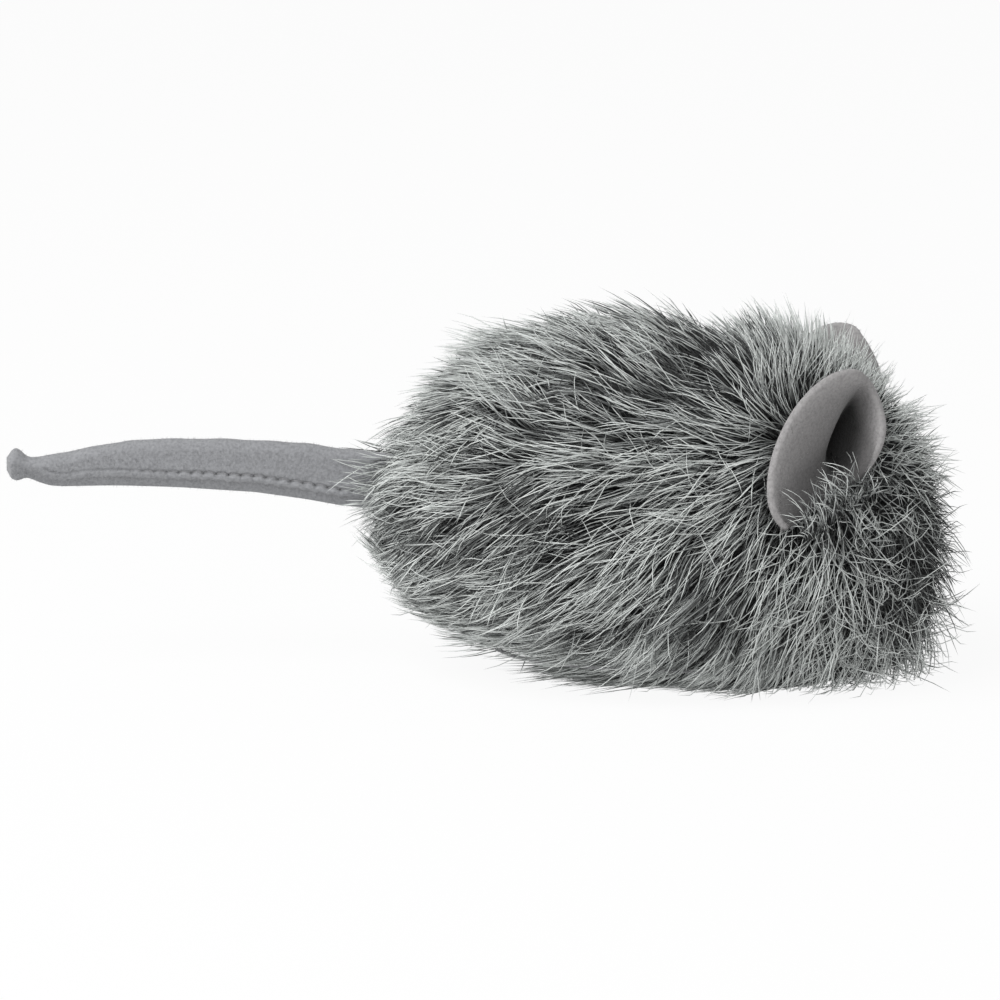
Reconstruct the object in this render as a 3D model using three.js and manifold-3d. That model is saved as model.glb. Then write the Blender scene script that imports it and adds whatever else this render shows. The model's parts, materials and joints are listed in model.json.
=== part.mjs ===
// Catnip mouse: a long-pile plush body with cupped felt ears and a folded felt tail.
// Millimetres, +Z up, +X towards the nose, the belly on Z = 0, the origin under the middle of the whole toy.
import * as THREE from "three";
import { mergeVertices } from "three/addons/utils/BufferGeometryUtils.js";
import Module from "manifold-3d";

// Plush body, measured over the laid pile, under its loose tips
const BODY_LENGTH = 93.5;
const BODY_WIDTH = 57;
const BACK_HEIGHT = 59.7;
const RUMP_HEIGHT = 24.5; // height of the rearmost point
const NOSE_HEIGHT = 18; // height of the foremost point
const BELLY_SAG = 1; // how far the round belly is pressed flat under the rump
const CHIN_SAG = 9.3; // the same under the chin, which droops
const LOAF = 2.2; // roundness of the body: 2 is an ellipse, more is boxier
const RUMP_ROUND = 2.1; // roundness of the rump seen from the side
const HEAD_ROUND = 2.55; // roundness of the blunt head seen from the side
const HEAD_TAPER = 0.22; // share of the width that the head loses towards the nose
const NECK_DIP = 2; // crease between the shoulders and the head
const NECK_FROM_NOSE = 37.5;
const NECK_SPREAD = 8;

// Faux fur and thread
const PILE = 4.5; // laid fibres
const BACKING = 1; // knitted backing that the fibres are fixed in
const BASE_THICK = 4; // belly panel, its pile pressed flat
const THREAD = 0.6; // sewing thread, diameter
const CLEARANCE = 0.3; // between neighbouring pieces
const SEAM_ALLOWANCE = 3; // belly seam in from the edge of the pile

// Felt ears
const FELT = 1.4;
const EAR_LENGTH = 28; // of the cut disc, along its long axis
const EAR_WIDTH = 17.5; // across, once it is folded into a cup
const EAR_RAKE = 31; // degrees between the sewn edge and the long axis
const EAR_CUP = 3.6; // depth of the cup below its rim
const EAR_PLEAT = 1.6; // extra depth of the pleat that folds the cup
const EAR_PLEAT_WIDTH = 2.2;
const EAR_FROM_NOSE = 21; // middle of the sewn edge
const EAR_HEIGHT = 34;
const EAR_RUN = 12.9; // sewn edge from its rear end to its front end, along the body
const EAR_CLIMB = 7.6; // the same, upwards
const EAR_END = 0.97; // share of the half edge where the outermost facets stop
const EAR_LEAN = 10; // degrees that the cup tips out from the side of the head
const EAR_PROUD = 2.5; // rim above the pile at the sewn edge
const EAR_ROOM = 1.2; // space in the parted pile round the cup
const EAR_FOLD_IN = 10; // degrees that the cup can be pressed towards the head

// Felt tail
const TAIL_LENGTH = 61; // from the pile to the tip
const TAIL_HEIGHT = 32; // where it leaves the rump
const TAIL_ROOT_WIDE = 9.4;
const TAIL_MID_WIDE = 8;
const TAIL_TIP_WIDE = 3.8;
const TAIL_KNOB = 4.4; // rolled end, its width and length
const TAIL_MIDDLE = 0.6; // share of the strip that tapers evenly
const TAIL_EASE = 1.3; // how late the taper after it comes
const TAIL_ROLL = 2.4; // radians of the rolled end's outline
const TAIL_ARCH = 3; // rise of the middle over the line from root to tip
const TAIL_TIP_RISE = 1.6; // tip above the root
const TAIL_SLIT = 0.5; // between the two flaps of the folded strip
const TAIL_STITCH_LINE = 2.5; // seam above the open edges
const TAIL_STITCH = 2.6; // length of one stitch
const TAIL_SEAM_ROOT = 5; // unsewn end at the tack
const TAIL_SEAM_TIP = 8.7; // unsewn end at the tip
const TAIL_SINK = 2.5; // tack behind the surface of the pile
const TAIL_ROOT = 1.8; // strip beyond the tack
const TAIL_SWING = 35; // degrees to each side
const TAIL_RAISE = 30; // degrees up
const TACK_REACH = 1.2; // knots of the tack beyond the strip

// Catnip sachet and its filling
const POUCH_LENGTH = 40;
const POUCH_WIDTH = 29;
const POUCH_THICK = 15;
const POUCH_CLOTH = 0.6;
const POUCH_HEM = 2.4; // flat sewn border
const POUCH_SQUARE = 3.4; // squareness of the outline: 2 is an ellipse
const POUCH_HEIGHT = 27;
const POUCH_FROM_NOSE = 46.5;

// Fineness of the facets
const PILE_FACETS = 26; // rings and sides of the outer skin
const INNER_FACETS = 18; // of the skins inside it
const POUCH_SIDES = 20;
const POUCH_RINGS = 4; // from the hem to the crown
const THREAD_SIDES = 5;
const SEAM_STEPS = 32; // sections of a long seam's thread
const TACK_STEPS = 14; // sections of an ear's tack
const TACK_SIDES = 10; // of the tail's tack and of its eye
const CLOSING_STITCHES = 6;
const EAR_FACETS = 16; // along the sewn edge
const CUP_FACETS = 7; // from the sewn edge to the rim
const TAIL_FACETS = 14; // along the strip
const KNOB_FACETS = 5; // along its rolled end
const FOLD_FACETS = 6; // round the fold

const PANEL = PILE + BACKING;
const SEAM = THREAD + 2 * CLEARANCE; // gap that a seam's thread lies in
const NOSE_X = (BODY_LENGTH + TAIL_LENGTH) / 2;
const RUMP_X = NOSE_X - BODY_LENGTH;
const NECK_X = NOSE_X - NECK_FROM_NOSE;
const CORE = new THREE.Vector3(RUMP_X + BODY_LENGTH / 2, 0, BACK_HEIGHT / 2);
const FAR = 2 * (BODY_LENGTH + TAIL_LENGTH); // larger than the toy

const wasm = await Module();
wasm.setup();

const upward = new THREE.Vector3(0, 0, 1);
const sideways = new THREE.Vector3(0, 1, 0);
const radians = THREE.MathUtils.degToRad;
const lerp = THREE.MathUtils.lerp;

function range(count, from, to) {
  return Array.from({ length: count + 1 }, (_, i) => lerp(from, to, i / count));
}

// Sine or cosine of a superellipse of a given squareness.
const squared = (v, squareness) => Math.sign(v) * Math.abs(v) ** (2 / squareness);

// Booleans

function solid(geometry) {
  const bare = new THREE.BufferGeometry();
  bare.setAttribute("position", geometry.getAttribute("position"));
  bare.setIndex(geometry.index);
  const merged = mergeVertices(bare, 1e-4);
  const mesh = new wasm.Mesh({
    numProp: 3,
    vertProperties: merged.attributes.position.array,
    triVerts: new Uint32Array(merged.index.array),
  });
  return new wasm.Manifold(mesh);
}

function geometryOf(manifold) {
  const mesh = manifold.getMesh();
  const geometry = new THREE.BufferGeometry();
  geometry.setAttribute("position", new THREE.BufferAttribute(mesh.vertProperties, 3));
  geometry.setIndex(new THREE.BufferAttribute(mesh.triVerts, 1));
  geometry.computeVertexNormals();
  return geometry;
}

function block(low, high) {
  const size = new THREE.Vector3().subVectors(high, low);
  const middle = new THREE.Vector3().addVectors(low, high).multiplyScalar(0.5);
  const box = new THREE.BoxGeometry(size.x, size.y, size.z);
  box.translate(middle.x, middle.y, middle.z);
  return solid(box);
}

const above = (z) => block(new THREE.Vector3(-FAR, -FAR, z), new THREE.Vector3(FAR, FAR, FAR));
const below = (z) => block(new THREE.Vector3(-FAR, -FAR, -FAR), new THREE.Vector3(FAR, FAR, z));
const rightOf = (y) => block(new THREE.Vector3(-FAR, -FAR, -FAR), new THREE.Vector3(FAR, y, FAR));
const ahead = (x) => block(new THREE.Vector3(x, -FAR, -FAR), new THREE.Vector3(FAR, FAR, FAR));
const behind = (x) => block(new THREE.Vector3(-FAR, -FAR, -FAR), new THREE.Vector3(x, FAR, FAR));

// Lofts

// Joins a row of closed rings, each with as many points, into one closed skin.
// Round ends run to a pole, and the flat ends of a folded section are filled by its outline.
function loft(rings, ends = {}) {
  const sides = rings[0].length;
  const points = rings.flat();
  const faces = [];
  for (let i = 0; i + 1 < rings.length; i++) {
    for (let j = 0; j < sides; j++) {
      const k = (j + 1) % sides;
      const here = i * sides;
      const next = here + sides;
      faces.push(here + j, here + k, next + k, here + j, next + k, next + j);
    }
  }
  const last = (rings.length - 1) * sides;
  if (ends.outline) {
    const turn = Math.sign(THREE.ShapeUtils.area(ends.outline));
    for (const face of THREE.ShapeUtils.triangulateShape(ends.outline, [])) {
      const same = Math.sign(THREE.ShapeUtils.area(face.map((i) => ends.outline[i]))) === turn;
      const [a, b, c] = same ? face : face.toReversed();
      faces.push(c, b, a, last + a, last + b, last + c);
    }
  } else {
    points.push(ends.first ?? centreOf(rings[0]), ends.last ?? centreOf(rings.at(-1)));
    for (let j = 0; j < sides; j++) {
      const k = (j + 1) % sides;
      faces.push(points.length - 2, k, j, points.length - 1, last + j, last + k);
    }
  }
  return skin(points, faces);
}

function centreOf(ring) {
  const sum = new THREE.Vector3();
  ring.forEach((p) => sum.add(p));
  return sum.divideScalar(ring.length);
}

function skin(points, faces) {
  const geometry = new THREE.BufferGeometry();
  geometry.setFromPoints(points);
  geometry.setIndex(faces);
  const volume = signedVolume(points, faces);
  if (volume < 0) geometry.setIndex(faces.toReversed());
  geometry.computeVertexNormals();
  return geometry;
}

function signedVolume(points, faces) {
  let six = 0;
  const normal = new THREE.Vector3();
  for (let i = 0; i < faces.length; i += 3) {
    normal.crossVectors(points[faces[i + 1]], points[faces[i + 2]]);
    six += normal.dot(points[faces[i]]);
  }
  return six / 6;
}

// Thread along a curve: a round section square to the curve, turned against one steady side direction.
function thread(curve, steps, side, closed = false) {
  const rings = range(steps, 0, 1).map((u) => {
    const middle = curve.getPoint(u);
    const along = curve.getTangent(u);
    const across = new THREE.Vector3().crossVectors(along, side).normalize();
    const out = new THREE.Vector3().crossVectors(across, along).normalize();
    return range(THREAD_SIDES, 0, 2 * Math.PI).slice(0, -1).map((turn) =>
      middle.clone()
        .addScaledVector(across, (THREAD / 2) * Math.cos(turn))
        .addScaledVector(out, (THREAD / 2) * Math.sin(turn)),
    );
  });
  if (!closed) return loft(rings);
  rings.pop();
  return closedLoft(rings);
}

// The same for a ring of sections that closes on itself.
function closedLoft(rings) {
  const sides = rings[0].length;
  const count = rings.length;
  const faces = [];
  for (let i = 0; i < count; i++) {
    for (let j = 0; j < sides; j++) {
      const k = (j + 1) % sides;
      const here = i * sides;
      const next = ((i + 1) % count) * sides;
      faces.push(here + j, here + k, next + k, here + j, next + k, next + j);
    }
  }
  return skin(rings.flat(), faces);
}

// Body

// Share of the full section at t along the body, 0 at the rump and 1 at the nose, for a given roundness.
const swell = (t, round) => (1 - Math.abs(2 * t - 1) ** round) ** (1 / round);

// Half sizes of the section at t of the skin that lies a given depth inside the pile.
function section(t, depth) {
  const x = lerp(RUMP_X + depth, NOSE_X - depth, t);
  const axis = lerp(RUMP_HEIGHT, NOSE_HEIGHT, t);
  const neck = NECK_DIP * Math.exp(-(((x - NECK_X) / NECK_SPREAD) ** 2));
  const sag = lerp(BELLY_SAG, CHIN_SAG, t ** 3);
  const taper = 1 - HEAD_TAPER * Math.max(0, 2 * t - 1) ** 2;
  const profile = swell(t, t < 0.5 ? RUMP_ROUND : HEAD_ROUND);
  return {
    x,
    axis,
    half: (BODY_WIDTH / 2 - depth) * swell(t, LOAF) * taper,
    rise: (BACK_HEIGHT - neck - depth - axis) * profile,
    drop: (axis + sag - depth) * profile,
  };
}

function bodySkin(depth, facets) {
  const stations = range(facets, 0, Math.PI).slice(1, -1).map((turn) => (1 - Math.cos(turn)) / 2);
  const rings = stations.map((t) => {
    const s = section(t, depth);
    return range(facets, 0, 2 * Math.PI).slice(0, -1).map((turn) => {
      const up = squared(Math.sin(turn), LOAF);
      const z = s.axis + up * (up > 0 ? s.rise : s.drop);
      return new THREE.Vector3(s.x, s.half * squared(Math.cos(turn), LOAF), z);
    });
  });
  const ends = {
    first: new THREE.Vector3(RUMP_X + depth, 0, RUMP_HEIGHT),
    last: new THREE.Vector3(NOSE_X - depth, 0, NOSE_HEIGHT),
  };
  return solid(loft(rings, ends));
}

function insideSkin(p, depth) {
  const t = (p.x - RUMP_X - depth) / (BODY_LENGTH - 2 * depth);
  if (t <= 0 || t >= 1) return false;
  const s = section(t, depth);
  const up = p.z - s.axis;
  const high = Math.abs(up) / (up > 0 ? s.rise : s.drop);
  return (Math.abs(p.y) / s.half) ** LOAF + high ** LOAF < 1;
}

// Where a ray from inside the body crosses the skin at a depth, found by halving.
function onSkin(from, direction, depth = 0) {
  let near = 0;
  let far = FAR;
  const at = (d) => from.clone().addScaledVector(direction, d);
  for (let i = 0; i < 40; i++) {
    const half = (near + far) / 2;
    if (insideSkin(at(half), depth)) near = half;
    else far = half;
  }
  return at(near);
}

const pileSkin = bodySkin(0, PILE_FACETS);
const hollow = bodySkin(PANEL, INNER_FACETS);
const fillSkin = bodySkin(PANEL + CLEARANCE, INNER_FACETS);
const threadDepth = PANEL - BACKING / 2;

// Ears, drawn for the right side in a frame of their own: x along the sewn edge towards the nose,
// y up the cup, z out of the cup, with the rim at z = 0.

const earTurn = radians(EAR_RAKE);
const earAlong = new THREE.Vector2(Math.cos(earTurn), Math.sin(earTurn));
const earAcross = new THREE.Vector2(-earAlong.y, earAlong.x);
const earLong = EAR_LENGTH / 2;
const earWide = EAR_WIDTH / 2;

// The sewn edge is the chord that starts at the oval's rear end and runs at the rake below its long axis.
const earBase = (2 * earAlong.x) / earLong / ((earAlong.x / earLong) ** 2 + (earAlong.y / earWide) ** 2);
const earMiddle = new THREE.Vector2(-earBase / 2, 0).addScaledVector(earAlong, earLong);
const earFrontEnd = new THREE.Vector2(earBase / 2, 0).sub(earMiddle);
const rimEnd = Math.atan2(earFrontEnd.dot(earAcross) / earWide, earFrontEnd.dot(earAlong) / earLong);

// Depth of the cup at a place in the rim's plane: a bowl over the oval rim, pleated along the oval's axis.
function cupDepth(x, y) {
  const from = new THREE.Vector2(x, y).sub(earMiddle);
  const wide = from.dot(earAcross);
  const bowl = Math.max(0, 1 - (from.dot(earAlong) / earLong) ** 2 - (wide / earWide) ** 2);
  return bowl * (EAR_CUP + EAR_PLEAT * Math.exp(-((wide / EAR_PLEAT_WIDTH) ** 2)));
}

// Ring of points at share p of the sewn edge: up the face of the cup to the rim and down its back.
// The rim is the oval's arc over the edge, grown by a margin, and the edge itself lies a drop below y = 0.
function earRing(p, margin, drop, face, back) {
  const foot = new THREE.Vector2((p * earBase) / 2 + p * margin, -drop);
  const turn = lerp(Math.PI, rimEnd, (p + 1) / 2);
  const rim = earMiddle.clone()
    .addScaledVector(earAlong, (earLong + margin) * Math.cos(turn))
    .addScaledVector(earAcross, (earWide + margin) * Math.sin(turn));
  const column = range(CUP_FACETS, 0, 1).map((q) => foot.clone().lerp(rim, q));
  return [...column.map(face), ...column.toReversed().map(back)];
}

const earShares = range(EAR_FACETS, -EAR_END, EAR_END);

function earCup() {
  const face = (v) => new THREE.Vector3(v.x, v.y, -cupDepth(v.x, v.y));
  const back = (v) => {
    const step = 0.05;
    const slopeX = (cupDepth(v.x + step, v.y) - cupDepth(v.x - step, v.y)) / (2 * step);
    const slopeY = (cupDepth(v.x, v.y + step) - cupDepth(v.x, v.y - step)) / (2 * step);
    const normal = new THREE.Vector3(slopeX, slopeY, 1).normalize();
    const point = face(v).addScaledVector(normal, -FELT);
    point.y = Math.max(point.y, 0); // the sewn edge is cut square
    return point;
  };
  return loft(earShares.map((p) => earRing(p, 0, 0, face, back)));
}

// Parted pile that the cup sits in: the cup's own outline and depth with room all round.
function earPocket() {
  const face = (v) => new THREE.Vector3(v.x, v.y, EAR_LENGTH);
  const back = (v) => {
    const pressed = Math.max(0, v.y) * Math.tan(radians(EAR_FOLD_IN));
    return new THREE.Vector3(v.x, v.y, -cupDepth(v.x, v.y) - FELT - EAR_ROOM - pressed);
  };
  return loft(earShares.map((p) => earRing(p, EAR_ROOM, SEAM, face, back)));
}

function earTack() {
  const drop = CLEARANCE + THREAD / 2;
  const places = range(TACK_STEPS, -earBase / 2, earBase / 2).slice(1, -1);
  const path = places.map((x) => new THREE.Vector3(x, -drop, -cupDepth(x, 0) - FELT / 2));
  return thread(new THREE.CatmullRomCurve3(path), TACK_STEPS, sideways);
}

// Place on the side of the head at a distance from the nose and a height.
function earSeat(fromNose, height) {
  return onSkin(new THREE.Vector3(NOSE_X - fromNose, 0, height), new THREE.Vector3(0, -1, 0));
}

const earRear = earSeat(EAR_FROM_NOSE + EAR_RUN / 2, EAR_HEIGHT - EAR_CLIMB / 2);
const earFront = earSeat(EAR_FROM_NOSE - EAR_RUN / 2, EAR_HEIGHT + EAR_CLIMB / 2);
const earX = new THREE.Vector3().subVectors(earFront, earRear).normalize();
const earOver = earSeat(EAR_FROM_NOSE, EAR_HEIGHT + EAR_WIDTH / 4);
const earUnder = earSeat(EAR_FROM_NOSE, EAR_HEIGHT - EAR_WIDTH / 4);
const earZ = new THREE.Vector3().subVectors(earOver, earUnder).cross(earX).negate().normalize();
earZ.applyAxisAngle(earX, radians(EAR_LEAN));
const earY = new THREE.Vector3().crossVectors(earZ, earX);
const earPlace = new THREE.Vector3().lerpVectors(earRear, earFront, 0.5).addScaledVector(earZ, EAR_PROUD);
const earFrame = new THREE.Matrix4().makeBasis(earX, earY, earZ).setPosition(earPlace);

// Tail, drawn from its tack: x runs back along the strip as -x, y across its flaps, z up its width.

const tailPivot = new THREE.Vector3(RUMP_X + TAIL_SINK, 0, TAIL_HEIGHT);
const tailReach = TAIL_LENGTH + TAIL_SINK; // from the tack to the tip
const tailNeck = tailReach - TAIL_KNOB; // from the tack to the rolled end
const tailHalf = FELT + TAIL_SLIT / 2; // half the folded thickness

const tailLine = new THREE.CubicBezierCurve3(
  new THREE.Vector3(0, 0, 0),
  new THREE.Vector3(-tailReach / 3, 0, TAIL_TIP_RISE / 3 + (TAIL_ARCH * 2) / 3),
  new THREE.Vector3((-tailReach * 2) / 3, 0, (TAIL_TIP_RISE * 2) / 3 + (TAIL_ARCH * 2) / 3),
  new THREE.Vector3(-tailReach, 0, TAIL_TIP_RISE),
);

// Width of the strip at u along it: an even taper to the middle, a quicker one to the neck, and a rolled end.
function tailWide(u) {
  const reach = u * tailReach;
  const middle = tailNeck * TAIL_MIDDLE;
  if (reach < middle) return lerp(TAIL_ROOT_WIDE, TAIL_MID_WIDE, reach / middle);
  const late = (reach - middle) / (tailNeck - middle);
  if (late < 1) return lerp(TAIL_MID_WIDE, TAIL_TIP_WIDE, late ** TAIL_EASE);
  const roll = ((reach - tailNeck) / TAIL_KNOB) * TAIL_ROLL;
  return lerp(TAIL_TIP_WIDE, TAIL_KNOB, Math.sin(roll));
}

// Section of the folded strip: round over the fold, open below, with the seam's channel in its right flap.
function stripSection(wide) {
  const low = -wide / 2;
  const bend = wide / 2 - tailHalf;
  const seam = low + TAIL_STITCH_LINE;
  const channel = SEAM / 2;
  const floor = -tailHalf + THREAD + CLEARANCE / 2;
  const slit = TAIL_SLIT / 2;
  const fold = range(FOLD_FACETS, Math.PI, 0).map((turn) =>
    new THREE.Vector2(tailHalf * Math.cos(turn), bend + tailHalf * Math.sin(turn)));
  const flap = [
    [-slit, low],
    [-tailHalf, low],
    [-tailHalf, seam - channel],
    [floor, seam - channel],
    [floor, seam + channel],
    [-tailHalf, seam + channel],
  ].map(([y, z]) => new THREE.Vector2(y, z));
  const inside = [
    [tailHalf, low],
    [slit, low],
    [slit, bend],
    [-slit, bend],
  ].map(([y, z]) => new THREE.Vector2(y, z));
  return [...flap, ...fold, ...inside];
}

function tailFrame(u) {
  const along = tailLine.getTangent(u);
  const up = new THREE.Vector3().crossVectors(sideways, along).normalize();
  return { at: tailLine.getPoint(u), up };
}

function stripRing(at, up, wide) {
  return stripSection(wide).map((v) =>
    new THREE.Vector3(at.x, v.x, at.z).addScaledVector(up, v.y));
}

const neckShare = tailNeck / tailReach;
const tailStations = [...range(TAIL_FACETS, 0, neckShare), ...range(KNOB_FACETS, neckShare, 1).slice(1)];

function tailStrip() {
  const root = tailFrame(0);
  const behindTack = new THREE.Vector3(TAIL_ROOT, 0, 0);
  const rings = [stripRing(behindTack, root.up, TAIL_ROOT_WIDE)];
  for (const u of tailStations) {
    const { at, up } = tailFrame(u);
    rings.push(stripRing(at, up, tailWide(u)));
  }
  const strip = solid(loft(rings, { outline: stripSection(TAIL_ROOT_WIDE) }));
  const eyeRadius = THREAD / 2 + CLEARANCE;
  const eye = new THREE.CylinderGeometry(eyeRadius, eyeRadius, FAR, TACK_SIDES);
  return geometryOf(strip.subtract(solid(eye)));
}

// Running stitch: it stands a little above the channel's floor and dips between the stitches.
function tailSeamThread() {
  const from = TAIL_SEAM_ROOT;
  const to = tailReach - TAIL_SEAM_TIP;
  const stitches = Math.round((to - from) / TAIL_STITCH);
  const path = range(4 * stitches, from, to).map((reach, i) => {
    const u = reach / tailReach;
    const { at, up } = tailFrame(u);
    const dip = ((CLEARANCE / 2) * (1 - Math.cos((i * Math.PI) / 2))) / 2;
    const y = -tailHalf + THREAD / 2 - CLEARANCE + dip;
    const line = TAIL_STITCH_LINE - tailWide(u) / 2;
    return new THREE.Vector3(at.x, y, at.z).addScaledVector(up, line);
  });
  return thread(new THREE.CatmullRomCurve3(path), 2 * stitches, upward);
}

// Tack that holds the strip's root: a bar of thread through both flaps, with a knot outside each.
function tailTack() {
  const bar = THREAD / 2;
  const knot = THREAD;
  const inner = tailHalf + CLEARANCE;
  const outer = tailHalf + TACK_REACH;
  const half = [
    new THREE.Vector2(bar, inner),
    new THREE.Vector2(knot, inner + bar),
    new THREE.Vector2(knot, outer - bar),
    new THREE.Vector2(bar, outer),
    new THREE.Vector2(0, outer),
  ];
  const mirrored = half.toReversed().map((v) => new THREE.Vector2(v.x, -v.y));
  return new THREE.LatheGeometry([...mirrored, ...half], TACK_SIDES);
}

// Parted pile that the root turns in: a slot that flares to the outside and to the inside of the tack.
function tailMouth() {
  const swing = radians(TAIL_SWING);
  const raise = radians(TAIL_RAISE) + Math.atan2(tailLine.v1.z, -tailLine.v1.x); // over the slope at rest
  const room = 3 * CLEARANCE;
  const high = TAIL_ROOT_WIDE / 2;
  const knots = tailHalf + TACK_REACH;
  const outerX = TAIL_SINK + PANEL;
  const innerX = TAIL_ROOT * Math.cos(raise) + high * Math.sin(raise) + room;
  const innerZ = high * Math.cos(raise) + TAIL_ROOT * Math.sin(raise) + room;
  const innerY = Math.max(knots, innerX * Math.sin(swing) + tailHalf * Math.cos(swing)) + room;
  const middleZ = Math.max(innerZ, high / Math.cos(raise) + room);
  const middleY = Math.max(knots, tailHalf / Math.cos(swing)) + room;
  const outerZ = middleZ + outerX * Math.tan(raise);
  const outerY = middleY + outerX * Math.tan(swing);
  const frame = (x, y, z) => [
    new THREE.Vector3(x, -y, -z),
    new THREE.Vector3(x, y, -z),
    new THREE.Vector3(x, y, z),
    new THREE.Vector3(x, -y, z),
  ];
  return loft([
    frame(-outerX, outerY, outerZ),
    frame(0, middleY, middleZ),
    frame(innerX, innerY, innerZ),
  ]);
}

// Fur panels

const seamBottom = BASE_THICK + SEAM;
const mouth = solid(tailMouth().translate(tailPivot.x, tailPivot.y, tailPivot.z));
const pocket = solid(earPocket().applyMatrix4(earFrame));
const sidePanel = pileSkin
  .subtract(hollow)
  .intersect(above(seamBottom))
  .intersect(rightOf(-SEAM / 2))
  .subtract(pocket)
  .subtract(mouth);
const basePanel = pileSkin.intersect(above(0)).intersect(below(BASE_THICK));

// Seams of the plush

// Point of the seam in the middle plane, at an angle from the nose over the back, at a depth in the pile.
function spinePoint(turn, depth) {
  const direction = new THREE.Vector3(Math.cos(turn), 0, Math.sin(turn));
  return onSkin(CORE, direction, depth);
}

// Angle at which the middle seam reaches a height, at the nose end or at the rump end.
function spineAngle(height, atRump) {
  let low = -Math.PI / 2;
  let high = Math.PI / 2;
  for (let i = 0; i < 40; i++) {
    const half = (low + high) / 2;
    const turn = atRump ? Math.PI - half : half;
    if (spinePoint(turn, threadDepth).z < height) low = half;
    else high = half;
  }
  return atRump ? Math.PI - low : low;
}

const mouthHalf = TAIL_ROOT_WIDE / 2 + TAIL_ROOT + SEAM;
const seamTop = seamBottom + SEAM;

function spineSeam() {
  const from = spineAngle(seamTop, false);
  const to = spineAngle(TAIL_HEIGHT + mouthHalf, true);
  const path = range(SEAM_STEPS, from, to).map((turn) => spinePoint(turn, threadDepth));
  return thread(new THREE.CatmullRomCurve3(path), SEAM_STEPS, sideways);
}

// Hand stitches that close the stuffing gap under the tail, in and out of the backing.
function closingStitch() {
  const from = spineAngle(TAIL_HEIGHT - mouthHalf, true);
  const to = spineAngle(seamTop, true);
  const path = range(4 * CLOSING_STITCHES, from, to).map((turn, i) =>
    spinePoint(turn, threadDepth - (THREAD / 2) * (1 - Math.cos((i * Math.PI) / 2))));
  return thread(new THREE.CatmullRomCurve3(path), 4 * CLOSING_STITCHES, sideways);
}

function baseSeam() {
  const middle = new THREE.Vector3(CORE.x, 0, BASE_THICK + SEAM / 2);
  const path = range(SEAM_STEPS, 0, 2 * Math.PI).slice(0, -1).map((turn) => {
    const outward = new THREE.Vector3(Math.cos(turn), Math.sin(turn), 0);
    return onSkin(middle, outward).addScaledVector(outward, -SEAM_ALLOWANCE);
  });
  return thread(new THREE.CatmullRomCurve3(path, true), SEAM_STEPS, upward, true);
}

// Catnip sachet: two domed sheets with a flat hem, sewn together round the edge

const pouchMiddle = new THREE.Vector3(NOSE_X - POUCH_FROM_NOSE, 0, POUCH_HEIGHT);

// Round-cornered outline of the sachet, grown or shrunk by a margin.
function pouchRing(margin, height) {
  return range(POUCH_SIDES, 0, 2 * Math.PI).slice(0, -1).map((turn) => {
    const x = (POUCH_LENGTH / 2 + margin) * squared(Math.cos(turn), POUCH_SQUARE);
    const y = (POUCH_WIDTH / 2 + margin) * squared(Math.sin(turn), POUCH_SQUARE);
    return new THREE.Vector3(x, y, height);
  });
}

// Rings of a dome from its rim to near its crown, where the outline shrinks as the height follows a cosine.
function domeRings(margin, height) {
  const shares = range(POUCH_RINGS, 0, 1).slice(0, -1);
  const inner = Math.min(POUCH_LENGTH, POUCH_WIDTH) / 2 + margin;
  return shares.map((s) => pouchRing(margin - s * inner, height * Math.sin((s * Math.PI) / 2)));
}

const hemInset = -POUCH_HEM;
const hemGap = SEAM / 2; // half the space between the hems, where the stitches run
const fillHeight = POUCH_THICK / 2 - hemGap - POUCH_CLOTH;

// One sheet as a closed skin: the hem and dome outside, then the same a cloth's thickness lower inside.
function pouchSheet() {
  const outside = domeRings(hemInset, fillHeight).map((ring) => lifted(ring, hemGap + POUCH_CLOTH));
  const inside = domeRings(hemInset - POUCH_CLOTH, fillHeight).map((ring) => lifted(ring, hemGap));
  const crown = new THREE.Vector3(0, 0, POUCH_THICK / 2);
  const hollowCrown = new THREE.Vector3(0, 0, POUCH_THICK / 2 - POUCH_CLOTH);
  const hem = [pouchRing(0, hemGap), pouchRing(0, hemGap + POUCH_CLOTH)];
  const rings = [...inside.toReversed(), ...hem, ...outside];
  return loft(rings, { first: hollowCrown, last: crown });
}

function lifted(ring, height) {
  return ring.map((p) => new THREE.Vector3(p.x, p.y, p.z + height));
}

function pouchStitch() {
  const path = pouchRing(-POUCH_HEM / 2, 0);
  return thread(new THREE.CatmullRomCurve3(path, true), 2 * POUCH_SIDES, upward, true);
}

// Lens of dried leaf inside the sheets, and the room that the sachet needs in the stuffing.
function lens(margin, rimHalf, height) {
  const top = domeRings(margin, height).map((ring) => lifted(ring, rimHalf));
  const bottom = top.toReversed().map((ring) => ring.map((p) => new THREE.Vector3(p.x, p.y, -p.z)));
  const crown = new THREE.Vector3(0, 0, rimHalf + height);
  return loft([...bottom, ...top], { first: crown.clone().negate(), last: crown });
}

const leaf = lens(hemInset - POUCH_CLOTH - CLEARANCE, hemGap / 2, fillHeight - CLEARANCE + hemGap / 2);
const pouchRoom = lens(CLEARANCE, hemGap + POUCH_CLOTH + CLEARANCE, fillHeight + CLEARANCE);

// Fibrefill: two wads that meet round the sachet
const fill = fillSkin
  .intersect(above(BASE_THICK + CLEARANCE))
  .subtract(solid(pouchRoom.translate(pouchMiddle.x, pouchMiddle.y, pouchMiddle.z)));

// Assembly

const finish = (color, roughness) => new THREE.MeshStandardMaterial({ color, roughness, metalness: 0 });
const furFinish = finish(0x6f7473, 0.9);
const baseFinish = finish(0x5c605f, 0.9);
const feltFinish = finish(0x77757a, 0.95);
const threadFinish = finish(0x8c8c90, 0.8);
const fillFinish = finish(0xe8e6e0, 0.95);
const pouchFinish = finish(0xd9d6cc, 0.9);
const leafFinish = finish(0x6b7a45, 0.95);

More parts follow.
